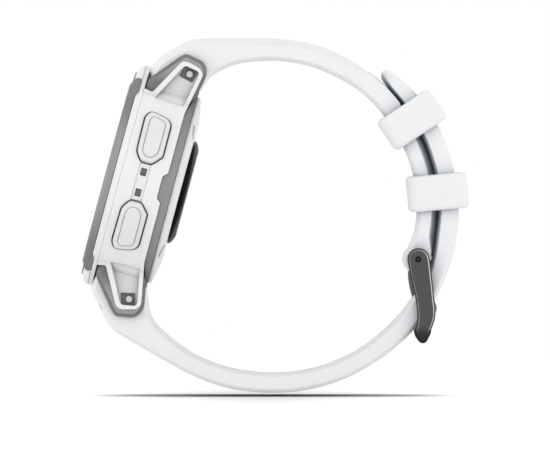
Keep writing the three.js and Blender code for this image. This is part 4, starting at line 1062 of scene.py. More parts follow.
@dataclass
class Buttons:
    """Two buttons on the right and three on the left, each a raised pad in a bevelled rim, on a stem."""

    bench: Bench
    gap_outline: tuple[Pair, ...] = (
        (4.0, 3.9), (4.6, 5.0), (5.1, 5.25), (6.5, 5.0), (8.2, 4.5), (8.9, 3.55),
        (8.95, -2.7), (8.8, -3.0), (7.55, -4.4), (7.2, -4.55), (5.3, -4.55), (4.15, -2.9),
    )
    pad_outline: tuple[Pair, ...] = (
        (5.08, 3.45), (5.5, 4.15), (6.3, 4.0), (7.55, 3.62), (7.87, 3.1),
        (7.88, -2.6), (7.05, -3.62), (5.8, -3.62), (5.15, -2.65),
    )
    # The cap's rows, each with its distance from the case axis. They go by the share from the middle to the
    # rim, the margin in from the gap, the share from the rim to the pad and the share from the middle to it.
    back_rows: tuple[Pair, ...] = ((0.02, 19.2), (0.5, 19.2))
    rim_rows: tuple[Pair, ...] = ((0, 19.2), (0, 20.2), (0.04, 20.36), (0.13, 20.48), (0.28, 20.55))
    groove_rows: tuple[Pair, ...] = ((0.5, 20.55), (0.84, 20.54), (0.92, 20.47), (1.0, 20.47))
    top_rows: tuple[Pair, ...] = (
        (0.985, 20.62), (0.96, 20.7), (0.92, 20.74), (0.7, 20.74), (0.35, 20.74), (0.02, 20.74),
    )
    middle: Pair = (6.5, 0.25)
    left_length: float = 0.76  # of a left button, as a share of a right one's
    stem_radius: float = 0.7
    stem_span: Pair = (-19.5, -14.7)
    depth: float = 6.5
    crown_drop: float = 0.14  # how much lower the cap's front and back edges are
    crown_half: float = 2.5
    opening_floor: float = -17.5
    bores: tuple[tuple[float, Pair], ...] = ((1.9, (-19.0, -15.9)), (1.0, (-16.4, -14.0)))
    right: tuple[tuple[str, float], ...] = (("start_button", 23.1), ("back_button", -23.1))
    left: tuple[tuple[str, float], ...] = (("light_button", 30.0), ("up_button", 0.0), ("down_button", -30.0))

    def shaped(self, corners: Sequence[Pair], cut: float, upper: bool, right: bool) -> Points:
        """An outline for one button: mirrored in height for a lower one, and shorter on the left side."""
        outline = softened(corners if upper else flipped(corners), cut)
        return turning_left(even(outline if right else outline * (1, self.left_length), 160))

    def places(self, right: bool) -> list[tuple[str, float, Points, Points]]:
        """Each button's name, its turn about the case axis, and the outlines of its gap and its pad."""
        found = []
        for name, angle in self.right if right else self.left:
            upper = angle > 0 if right else angle <= 0
            turn = -angle if right else 180 + angle
            gap = self.shaped(self.gap_outline, 0.6, upper, right)
            found.append((name, math.radians(turn), gap, self.shaped(self.pad_outline, 0.5, upper, right)))
        return found

    def openings(self, right: bool) -> list[Solid]:
        """The holes that the buttons need in a side plate."""
        return [
            Solid(across(inset(gap, -SEAM / 2), -BEYOND, self.opening_floor), about_axis(turn))
            for _, turn, gap, _ in self.places(right)
        ]

    def pockets(self) -> list[Solid]:
        """The spring pockets and stem holes in the middle case."""
        return [
            Solid(rod_across(radius, span, self.depth, 0), about_axis(turn))
            for right in (True, False)
            for _, turn, _, _ in self.places(right)
            for radius, span in self.bores
        ]

    def cap(self, gap: Points, pad: Points, upper: bool) -> Skin:
        """A button's cap.

        Its rings are outlines seen from the side at even angles about a middle, bent on a cylinder about the
        case axis: a point at height z on radius r lies at y = -sqrt(r * r - z * z), where r is less by the
        crown's drop times the fourth power of the distance from the middle. From the gap they come in over a
        rounded rim, go on to the pad's outline across a shallow groove, and rise over its edge.

        Args:
            gap: Outline of the opening.
            pad: Outline of the raised pad.
            upper: Whether the button's middle lies towards 12 o'clock in its own frame.

        Returns:
            The cap, without its stem.
        """
        middle = (self.middle[0], self.middle[1] if upper else -self.middle[1])
        centre = np.array(middle)
        rim = [round_about(inset(gap, SEAM / 2 + margin), middle) for margin, _ in self.rim_rows]
        edge = round_about(pad, middle)
        back = [centre + (rim[0] - centre) * share for share, _ in self.back_rows]
        groove = [rim[-1] + (edge - rim[-1]) * share for share, _ in self.groove_rows]
        top = [centre + (edge - centre) * share for share, _ in self.top_rows]
        outlines = np.stack([*back, *rim, *groove, *top])
        radius = np.array([*self.back_rows, *self.rim_rows, *self.groove_rows, *self.top_rows])[:, 1:]
        depth, height = outlines[..., 0], outlines[..., 1]
        drop = self.crown_drop * ((depth - self.depth) / self.crown_half) ** 4 * (radius > 20)
        y = -np.sqrt((radius - drop) ** 2 - height**2)
        return net(np.stack([depth, y, height], -1), capped=True)

    def build(self) -> None:
        """Builds the five buttons."""
        for name, turn, gap, pad in self.places(True) + self.places(False):
            place = about_axis(turn)
            stem = Solid(rod_across(self.stem_radius, self.stem_span, self.depth, 0, 0.15), place)
            cap = Solid(self.cap(gap, pad, gap[:, 1].max() > -gap[:, 1].min()), place)
            self.bench.mount(name + "_cap", cap | stem, name, BUTTON_PLASTIC)
            self.bench.dress(name + "_seal", BLACK_RUBBER)
            self.bench.dress(name + "_spring", STEEL)


# ---------------------------------------------------------------------------------------------
# Case
# ---------------------------------------------------------------------------------------------


@dataclass
class CaseBody:
    """The middle case with its back band and lugs, and the white plates on its sides."""

    bench: Bench
    buttons: Buttons
    core_radius: float = 18.3
    core_span: Pair = (2.8, 12.0)
    core_flat: float = 17.0  # height at which the core is cut flat between the lugs
    cavity_radius: float = 15.2
    cavity_floor: float = 10.475
    back_opening: float = 12.2
    gasket_groove: Band = (12.7, 13.8, 11.1, 12.5)  # inner and outer radius, front and back
    bar_hole: float = 0.68
    screw_circle: float = 15.2
    screw_hole: float = 0.95
    pillar_radius: float = 1.9
    pillar_span: Pair = (7.0, 12.0)
    band_radius: float = 19.7
    band_span: Pair = (9.0, 12.0)
    band_half: tuple[Pair, ...] = ((9.79, 1.93), (10.6, 2.6), (10.6, 13.35), (11.55, 16.7), (11.95, 16.75))
    band_cuts: tuple[float, ...] = (0.3, 0.3, 0.1, 0.1, 0.05)
    lug_y: Pair = (10.3, 11.62)
    lug_bevels: Pair = (0.7, 0.2)
    lug_corner: float = 0.45
    lug_outline: tuple[Pair, ...] = (
        (2.84, 11), (2.84, 16.2), (2.9, 17.95), (7.1, 23.02), (7.9, 23.75), (8.5, 23.8), (11.2, 23.3),
        (12.0, 22.6), (12.42, 21.6), (12.5, 20.6), (11.6, 16.1), (10.75, 13.2), (10.6, 11),
    )
    lower_lug_stretch: float = 1.006
    plate_radius: float = 20.0
    plate_inner_radius: float = 18.5
    plate_height: float = 24.0
    plate_outer_y: float = 12.9  # the plate's outer face over the lugs
    plate_gap: float = 0.08  # from a lug's face to the plate
    plate_half: tuple[Pair, ...] = (
        (2.58, 16.1), (4.1, 15.75), (7.6, 22.1), (8.2, 22.5), (9, 22.5), (11.2, 21.9), (11.9, 21),
        (11.8, 20.2), (10.56, 13.5), (10.56, 2.65), (9.75, 2),
    )
    ramp: tuple[Pair, ...] = (  # as [y, height]: what the lug pockets are cut down to
        (25, 25), (11.76, 25), (11.76, 16.4), (12.35, 15.75), (12.95, 14.75), (25, 14.75),
    )
    pocket: tuple[Pair, ...] = (
        (4.75, 14.9), (8.2, 21.4), (8.65, 21.75), (10.95, 21.35), (11.2, 20.8), (10.0, 14.6),
    )
    socket: tuple[Pair, ...] = ((7.85, 19.75), (8.5, 21.72), (11.0, 21.32), (10.4, 19.15))
    socket_floor: float = 11.3
    socket_corner: float = 0.3
    slit_shade_ring: tuple[float, ...] = (15.3, 19.05, 2.63, 2.86, 0.05)
    slit_shade_height: float = 16.2  # the dark ring, painted shade in the slit, shows past this height only
    channel_ring: tuple[float, ...] = (19.85, 21, 5.3, 7.35, 0.1)
    channel_height: float = 4.3
    window_half: Pair = (0.52, 0.68)
    window_places: tuple[Pair, ...] = ((6.33, 1.82), (6.33, -1.9))

    def screw_places(self) -> list[Pair]:
        """Where the four back screws stand, as [y, height]."""
        angle = np.radians([45, 135, 225, 315])
        return list(zip(self.screw_circle * np.cos(angle), self.screw_circle * np.sin(angle)))

    def middle(self) -> Solid:
        """The middle case: a core cut flat between the lugs, the grey back band and four lugs."""
        flat = on_case(block((0, 15), ALL_Y, (-self.core_flat, self.core_flat)))
        core = disc(self.core_radius, *self.core_span) & flat
        band_outline = softened(both_halves(self.band_half), self.band_cuts + self.band_cuts[::-1])
        band = profiled(band_outline) & disc(self.band_radius, *self.band_span)
        low, high = self.lug_y
        lugs = [
            on_case(bevelled(np.array(self.lug_outline) * (1, stretch), self.lug_corner, span, bevels))
            for stretch in (1, -self.lower_lug_stretch)
            for span, bevels in (((-high, -low), self.lug_bevels), ((low, high), self.lug_bevels[::-1]))
        ]
        pillars = [rod(self.pillar_radius, self.pillar_span, y, z) for y, z in self.screw_places()]
        shell = (core | band).with_all(lugs)
        shell = shell - disc(self.cavity_radius, 0, self.cavity_floor) - disc(self.back_opening, 5, 15)
        cuts = [ring(*self.gasket_groove)]
        cuts += [on_case(rod_across(self.bar_hole, THROUGH, BAR[0], sign * BAR[1])) for sign in (1, -1)]
        cuts += [rod(self.screw_hole, (8, 13), y, z) for y, z in self.screw_places()]
        cuts += [
            profiled(softened(outline, self.socket_corner), (side * self.socket_floor, side * BEYOND))
            for side in (-1, 1) for outline in (self.socket, flipped(self.socket))
        ]
        return shell.with_all(pillars).without(cuts + self.buttons.pockets())

    def plate(self, side: int) -> Solid:
        """A side plate: the case's round carried straight on over the lugs.

        Args:
            side: -1 for the right plate, which faces -Y, and 1 for the left.

        Returns:
            The plate with its button openings, lug pockets and bar sockets.
        """
        outer, inner, top = self.plate_outer_y, self.lug_y[1] + self.plate_gap, self.plate_height
        outer_angle = math.degrees(math.acos(outer / self.plate_radius))
        inner_angle = math.degrees(math.acos(inner / self.plate_inner_radius))
        outline = np.vstack([
            [(-outer, top)], arc(self.plate_radius, 180 - outer_angle, 180 + outer_angle, 90),
            [(-outer, -top), (-inner, -top)],
            arc(self.plate_inner_radius, 180 + inner_angle, 180 - inner_angle, 90), [(-inner, top)],
        ]) * (-side, 1)
        through = (0, side * BEYOND)
        sides = profiled(softened(both_halves(self.plate_half[::-1]), 0.35), through)
        plate = on_case(facing(outline, 0, 15)) & sides
        for end in (1, -1):
            floor = on_case(facing(np.array(self.ramp) * (side, end), 0, 15))
            plate = plate - (profiled(softened(np.array(self.pocket) * (1, end), 0.4), through) & floor)
            plate = plate - profiled(softened(np.array(self.socket) * (1, end), self.socket_corner), through)
        return plate.without(self.buttons.openings(side < 0))

    def build(self) -> None:
        """Builds the middle case and both plates; the right one has a channel with two small windows."""
        self.bench.mount("case_core", self.middle(), "middle_case", GREY_POLYMER)
        # A dark ring shows in the slit in front of the lugs as painted shade.
        between = on_case(block((0, 5), ALL_Y, (-self.slit_shade_height, self.slit_shade_height)))
        self.bench.mount("case_slit_shade", ring(*self.slit_shade_ring) - between, "middle_case", SLIT_SHADE_GREY)
        reach = on_case(block((0, 15), (-BEYOND, 0), (-self.channel_height, self.channel_height)))
        channel = ring(*self.channel_ring) & reach
        frames = [rounded_box(*self.window_half, 0.12) + place for place in self.window_places]
        windows = [profiled(outline, (-BEYOND, -5)) for outline in frames]
        for number, outline in enumerate(frames, 1):
            pane = on_case(across(inset(outline, 0.04), -19.5, -18.6, 0.05))
            self.bench.mount(f"side_window_{number}", pane, "side_plate_right", WINDOW)
        right = (self.plate(-1) - channel).without(windows)
        self.bench.mount("case_side_right", right, "side_plate_right", WHITE_PLASTIC)
        self.bench.mount("case_side_left", self.plate(1), "side_plate_left", WHITE_PLASTIC)


@dataclass
class BezelSet:
    """The white bezel, the ring under it and the grey cap on each side."""

    bench: Bench
    radius: float = 20.0
    opening: float = 15.12
    bezel_back: float = 1.85
    ring_back: float = 2.58 - FINE_SEAM
    slot_radius: float = 18.2
    line: tuple[Pair, ...] = ((17.98, 0.18), (18.48, 0.27), (18.48, 0.6), (17.98, 0.6))
    cap_half: tuple[Pair, ...] = (
        (1.3, 14.2), (1.8, 15.2), (1.8, 17.5), (1.0, 17.55), (0.6, 17.3), (0.3, 16.6), (-0.15, 16),
    )
    cap_band: tuple[Pair, ...] = (
        (18.3, 0.1), (18.6, -0.1), (19.5, -0.1), (20, 0.35), (20, 2.5), (18.3, 2.5),
    )
    rise_half: tuple[Pair, ...] = ((2.2, 14.75), (0, 13.85))

    def bezel(self) -> Solid:
        """The white bezel: a turned ring with a soft dish to the glass, cut away at both caps."""
        profile = softened([
            (self.opening, 0.45), (15.5, 0.32), (16.2, 0.02), (18.05, 0.17), (18.45, 0.42), (19.4, 0.8),
            (self.radius, 1.5), (self.radius, self.bezel_back), (self.opening, self.bezel_back),
        ], (0.22, 0.22, 0.22, 0.05, 0.05, 0.3, 0.22, 0.1, 0.1), 5)
        outline = inset(turning_left(self.cap_outline()), -FINE_SEAM)
        slots = ring(self.slot_radius, 22, -1, 3) & profiled(outline)
        return turned(profile) - slots

    def cap_outline(self) -> Points:
        """A cap's outline seen from the side."""
        return softened(both_halves(self.cap_half[::-1]), 0.45)

    def inlay(self) -> Solid:
        """A thin grey line turned into the front edge, in reach of the caps."""
        return turned(np.array(self.line))

    def cap(self, side: int) -> Solid:
        """A grey cap: a turned band within its outline seen from the side."""
        band = softened(self.cap_band, 0.12, 4)
        return turned(band) & profiled(self.cap_outline(), (0, side * BEYOND))

    def under_ring(self) -> Solid:
        """The white ring under the bezel, which rises behind the middle of each cap."""
        flat = ring(13.2, self.radius, self.bezel_back + FINE_SEAM, self.ring_back, 0.06)
        high = ring(18.5, self.radius, 1.4, self.ring_back, 0.06)
        return flat | (high & profiled(np.array(both_halves(self.rise_half))))

    def build(self) -> None:
        """Builds the four pieces."""
        self.bench.mount("bezel_white", self.bezel(), "bezel", WHITE_PLASTIC)
        self.bench.mount("bezel_line", self.inlay(), "bezel", BEZEL_GREY)
        self.bench.mount("bezel_ring_white", self.under_ring(), "bezel_ring", RING_PLASTIC)
        self.bench.mount("bezel_side_right", self.cap(-1), "bezel_cap_right", BEZEL_GREY)
        self.bench.mount("bezel_side_left", self.cap(1), "bezel_cap_left", BEZEL_GREY)


@dataclass
class Display:
    """The glass, the panel under it and a plain time in bar digits with a ring of minute marks."""

    bench: Bench
    glass_radius: float = 15.0
    panel_radius: float = 12.9
    panel_span: Pair = (1.46, 3.1)
    print_span: Pair = (1.38, 1.45)
    digits: str = "1009"
    digit_height: float = 7.6
    digit_width: float = 3.9
    digit_gap: float = 1.0
    colon_room: float = 0.5
    dot_half: float = 0.4
    dot_height: float = 1.5
    mark_outer: float = 12.5
    hour_mark: Pair = (0.22, 11.2)  # half width and inner radius
    minute_mark: Pair = (0.1, 11.8)
    stroke: float = 0.95
    bars: dict[str, str] = field(default_factory=lambda: {"0": "abcdef", "1": "bc", "9": "abcdfg"})

    def bar(self, y: float, z: float, length: float, upright: bool) -> Skin:
        """One bar of a digit: a strip with pointed ends, flat on the panel."""
        half, tip = self.stroke / 2, length / 2
        corners = [
            (-tip, 0), (half - tip, half), (tip - half, half),
            (tip, 0), (tip - half, -half), (half - tip, -half),
        ]
        outline = np.array([(b, a) if upright else (a, b) for a, b in corners]) + (y, z)
        return facing(outline, *self.print_span)

    def digit(self, number: str, y: float) -> list[Skin]:
        """The bars of one digit. Seen from the front, +y is on the left."""
        w, h = self.digit_width / 2 - self.stroke / 2, self.digit_height / 2 - self.stroke / 2
        long, short = self.digit_height / 2 - self.stroke * 0.6, self.digit_width - self.stroke * 1.15
        places = {
            "a": (y, h, short, False), "d": (y, -h, short, False), "g": (y, 0, short, False),
            "b": (y - w, h / 2, long, True), "c": (y - w, -h / 2, long, True),
            "f": (y + w, h / 2, long, True), "e": (y + w, -h / 2, long, True),
        }
        return [self.bar(*places[name]) for name in self.bars[number]]

    def marks(self) -> list[Skin]:
        """Sixty minute marks round the panel, every fifth one longer."""
        found = []
        outer = self.mark_outer
        for minute in range(60):
            half, inner = self.minute_mark if minute % 5 else self.hour_mark
            corners = np.array([(inner, -half), (outer, -half), (outer, half), (inner, half)])
            angle = math.radians(6 * minute)
            turn = np.array([(math.cos(angle), -math.sin(angle)), (math.sin(angle), math.cos(angle))])
            found.append(facing(corners @ turn.T, *self.print_span))
        return found

    def build(self) -> None:
        """Builds the glass, the panel and what it shows."""
        corners = [(0.01, 0.3), (self.glass_radius, 0.3), (self.glass_radius, 1.2), (0.01, 1.2)]
        glass = softened(corners, (0, 0.3, 0.1, 0), 5)
        self.bench.mount("glass", turned(glass), "display_glass", CLEAR_GLASS)
        self.bench.mount("panel", disc(self.panel_radius, *self.panel_span, 0.08), "display_panel", DISPLAY)
        step = self.digit_width + self.digit_gap
        left = [steps * step + self.colon_room for steps in (1.5, 0.5)]
        columns = [*left, *[-y for y in reversed(left)]]
        shown = [skin for number, y in zip(self.digits, columns) for skin in self.digit(number, y)]
        dot = rounded_box(self.dot_half, self.dot_half, 0.12)
        shown += [facing(dot + (0, side * self.dot_height), *self.print_span) for side in (1, -1)]
        self.bench.mount("time", Solid(gathered(shown + self.marks()), CASE), "display_panel", INK)
        self.bench.dress("display_gasket", BLACK_RUBBER)


def gathered(skins: Sequence[Skin]) -> Skin:
    """Puts separate skins in one, by shifting each one's indices past those before it."""
    starts = np.cumsum([0] + [len(skin.points) for skin in skins])
    faces = [[i + start for i in face] for skin, start in zip(skins, starts.tolist()) for face in skin.faces]
    return Skin(np.vstack([skin.points for skin in skins]), faces)


@dataclass
class Inside:
    """What the closed case holds. It shows only where the case is opened."""

    bench: Bench
    finishes: dict[str, Finish] = field(default_factory=lambda: {
        "gps_antenna": GOLD, "main_board": BOARD, "battery": FOIL, "vibration_motor": STEEL,
        "back_gasket": BLACK_RUBBER, "upper_bar_tube": STEEL, "lower_bar_tube": STEEL,
        "upper_bar_spring": STEEL, "lower_bar_spring": STEEL,
    })

    def build(self) -> None:
        """Dresses the CAD solids."""
        for node, finish in self.finishes.items():
            self.bench.dress(node, finish)


@dataclass
class Back:
    """The white back cover with its screws, the pulse sensor and the charging port."""

    bench: Bench
    case: CaseBody
    cover_radius: float = 17.0
    neck: float = 4.7
    rim: tuple[Pair, ...] = (
        (7.6, 13.4), (9.35, 13.4), (9.3, 13.78), (8.9, 14.12), (8.1, 14.5), (7.6, 14.6),
    )
    sinks: tuple[tuple[float, Pair], ...] = ((1.0, (11.0, 14.0)), (1.3, (12.3, 15.0)))
    head_radius: float = 1.27
    head_span: Pair = (12.4, 12.86)
    shaft_radius: float = 0.7
    shaft_span: Pair = (8.6, 12.7)
    lobes: Pair = (0.56, 0.1)  # the recess's mean radius, and how far it waves
    recess_span: Pair = (12.62, 13.5)
    port_height: float = -11.4
    port_half: Pair = (3.5, 1.3)
    port_gap: float = 0.12
    port_front: float = 12.7
    contact_pitch: float = 1.5

    def cover(self) -> Solid:
        """The cover: a shallow turned dome with a pocket for the port and sinks for the screws."""
        hole = self.neck + 0.2
        dome = softened([
            (hole, 12.03), (self.cover_radius, 12.03), (16.85, 12.55), (15, 12.97), (13, 13.35),
            (hole, 13.35),
        ], (0, 0.1, 0.4, 1.0, 1.0, 0), 6)
        half_y, half_z = self.port_half
        gap = self.port_gap
        pocket = rounded_box(half_y + gap, half_z + gap, 0.7) + (0, self.port_height)
        cuts = [on_case(facing(pocket, 12.45, 15))]
        for y, z in self.case.screw_places():
            cuts += [rod(radius, span, y, z) for radius, span in self.sinks]
        return turned(dome).without(cuts)

    def screw(self, y: float, z: float) -> Solid:
        """A countersunk screw with a six-lobed recess: its radius waves six times round."""
        angle = np.linspace(0, 2 * math.pi, 72, endpoint=False)
        lobes = self.lobes[0] + self.lobes[1] * np.cos(6 * angle)
        recess = np.stack([y + lobes * np.cos(angle), z + lobes * np.sin(angle)], 1)
        head = rod(self.head_radius, self.head_span, y, z, 0.1, 56)
        shaft = rod(self.shaft_radius, self.shaft_span, y, z)
        return (head | shaft) - on_case(facing(recess, *self.recess_span))

    def build(self) -> None:
        """Builds the back."""
        self.bench.mount("back_plate", self.cover(), "back_cover", RING_PLASTIC)
        for number, (y, z) in enumerate(self.case.screw_places(), 1):
            self.bench.mount(f"screw_{number}", self.screw(y, z), f"back_screw_{number}", SCREW_STEEL)
        self.bench.mount("sensor_frame", turned(softened(self.rim, 0.1, 4), 192), "sensor_rim", RIM_BLACK)
        lens = softened([
            (0.01, 11.9), (self.neck, 11.9), (self.neck, 13.5), (7.5, 13.5), (7.5, 14.48), (6.2, 14.68),
            (0.01, 14.7),
        ], (0, 0.1, 0, 0, 0.1, 0.6, 0), 5)
        self.bench.mount("sensor_glass", turned(lens, 192), "sensor_window", SENSOR_BLACK)
        half_y, half_z = self.port_half
        outline = rounded_box(half_y, half_z, 0.6) + (0, self.port_height)
        port = on_case(facing(outline, self.port_front, 13.15, 0.08))
        columns = [step * self.contact_pitch for step in (-1.5, -0.5, 0.5, 1.5)]
        holes = [rod(0.5, (12, 14), y, self.port_height) for y in columns]
        self.bench.mount("port", port.without(holes), "charging_port", DARK_PLASTIC)
        for number, y in enumerate(columns, 1):
            pin = rod(0.38, (self.port_front, 13.2), y, self.port_height, 0.1, 32)
            self.bench.mount(f"contact_{number}", pin, f"charge_contact_{number}", GOLD)


@dataclass
class SpringBars:
    """The sprung tips of the bars that hold the strap; they show in the lugs' sockets."""

    bench: Bench
    # radius, both ends along Y and the rounding of the pin and of the collar behind it
    rods: tuple[tuple[float, Pair, float], ...] = ((0.62, (8.9, 12.0), 0.16), (0.85, (7.0, 8.95), 0.06))

    def tip(self, sign: int, turn: int) -> Solid:
        """One tip: a pin with a slightly domed end, and a collar inside the tube."""
        pin, collar = (
            on_case(rod_across(radius, sorted(turn * y for y in ends), BAR[0], sign * BAR[1], edge, 48))
            for radius, ends, edge in self.rods
        )
        return pin | collar

    def build(self) -> None:
        """Builds the four tips."""
        for end, sign in (("upper", 1), ("lower", -1)):
            for side, turn in (("left", 1), ("right", -1)):
                node = f"{end}_bar_tip_{side}"
                self.bench.mount(f"{end}_tip_{side}", self.tip(sign, turn), node, PIN_STEEL)


# ---------------------------------------------------------------------------------------------
# Strap
# ---------------------------------------------------------------------------------------------

ARC_CENTRE = (-1.65, 0.08)


def arc_point(radius: float, degrees: float) -> Pair:
    """A point at a radius and an angle about the strap's arc centre."""
    angle = math.radians(degrees)
    return ARC_CENTRE[0] + radius * math.cos(angle), ARC_CENTRE[1] + radius * math.sin(angle)


def lug_pair(outer: Pair, inner: Pair) -> tuple[Pair, Pair]:
    """A strap station by the lugs: its outer and its inner point, given in the case's middle plane."""
    return case_point(*outer), case_point(*inner)


def arc_pair(outer: float, inner: float, degrees: float) -> tuple[Pair, Pair]:
    """A strap station on the arc: its outer and its inner point."""
    return arc_point(outer, degrees), arc_point(inner, degrees)


@dataclass
class StrapBand:
    """A half of the strap: a rounded section carried along two rails."""

    stations: list[tuple[Pair, Pair]]
    outer_corner: Pair
    inner_corner: Pair
    tip_start: float = 2.0
    side_cut: float = 0.35
    crown: tuple[Pair, ...] = ((0.0, 1.0), (1.0, 1.0))
    lug_half_width: float = 9.9
    lug_nose: float = 0.35
    half_width: float = 9.0
    taper: Pair = (0.2, 0.3)  # where the taper starts, and how long it is
    tip_narrowing: float = 0.45
    nose_share: float = 0.012
    samples: int = 260

    def half_widths(self, share: Points) -> Points:
        """Half the width: full at the lugs, narrower past the taper, drawn in at a free tip."""
        start, length = self.taper
        taper = np.clip((share - start) / length, 0, 1)
        width = self.lug_half_width + (self.half_width - self.lug_half_width) * taper**2 * (3 - 2 * taper)
        tip = 1 - self.tip_start
        into_tip = np.clip((share - self.tip_start) / tip, 0, 1) if tip > 0 else 0 * share
        return width * (1 - self.tip_narrowing * into_tip**2)

    def rails(self, share: Points) -> tuple[Points, Points]:
        """The outer and the inner edge of the section, as [x, z] at each share."""
        points = np.array(self.stations, float)
        return smooth_rail(points[:, 0], share), smooth_rail(points[:, 1], share)

    def skin(self) -> Skin:
        """The band.

        At each share the section is a rectangle with chamfered and softened corners: its long side runs along
        Y, its short side from the inner to the outer rail. A corner's point lies a millimetres in from the
        side and b from the face. The outer face's chamfers are broad, so that it is crowned. Their height
        goes by the crown's rows of share and level, straight from one to the next. Over the last bit at both
        ends all heights shrink to sqrt(1 - u * u), where u goes from 0 to 1, as a nose does. The nose is
        short between the lugs and as long as half the thickness at the other end.
        """
        near = (1 - np.cos(np.linspace(0, math.pi / 2, 12))) * self.nose_share
        share = np.unique(np.concatenate([np.linspace(0, 1, self.samples), near, 1 - near]))
        outer, inner = self.rails(share)
        middle, half = (outer + inner) / 2, (outer - inner) / 2
        along = np.concatenate([[0], np.cumsum(np.linalg.norm(np.diff(middle, axis=0), axis=1))])
        blunt = np.minimum(np.linalg.norm(half, axis=1)[[0, -1]], (self.lug_nose, BEYOND))
        u = np.clip(1 - np.stack([along / blunt[0], (along[-1] - along) / blunt[1]]), 0, 0.9995).max(0)
        nose = np.sqrt(1 - u**2)[:, None]
        thickness = 2 * np.linalg.norm(half, axis=1)
        outwards = unit(half)
        width = self.half_widths(share) - 0.5 * (1 - nose[:, 0])
        corners = [chamfer(*self.outer_corner, self.side_cut), chamfer(*self.inner_corner, self.side_cut)]
        (a, b), (c, d) = (corner.T for corner in corners)
        side_in = np.concatenate([a, a[::-1], c, c[::-1]])
        from_face = np.concatenate([b, b[::-1], d, d[::-1]])
        side = np.repeat([1, -1, -1, 1], [len(a), len(a), len(c), len(c)])
        top = np.repeat([1, -1], [2 * len(a), 2 * len(c)])
        along_y = side * (width[:, None] - side_in)
        level = np.interp(share, *np.array(self.crown).T)[:, None]
        from_face = from_face * np.where(top > 0, level, 1)
        limit = np.minimum(1, 0.48 * thickness[:, None] / from_face.max(axis=1, keepdims=True))
        rise = np.minimum(from_face * limit, thickness[:, None] / 2)
        up = top * (thickness[:, None] / 2 - rise) * nose
        x = middle[:, :1] + outwards[:, :1] * up
        z = middle[:, 1:] + outwards[:, 1:] * up
        return net(np.stack([x, along_y, z], -1), capped=True)


def chamfer(reach: float, rise: float, side_cut: float, face_cut: float = 1.2) -> Points:
    """A corner of the strap's section.

    Args:
        reach: How far in from the side the chamfer ends on the face.
        rise: How far from the face it starts on the side.
        side_cut: The softening where it starts.
        face_cut: The softening where it ends.

    Returns:
        Points [in from the side, in from the face], from the side to the face.
    """
    far = reach + rise + 4
    cuts = [0.01, min(side_cut, rise * 0.45), min(face_cut, reach * 0.45), 0.01]
    rounded = softened([(0, far), (0, rise), (reach, 0), (far, 0)], cuts, 7)
    return rounded[7:21]


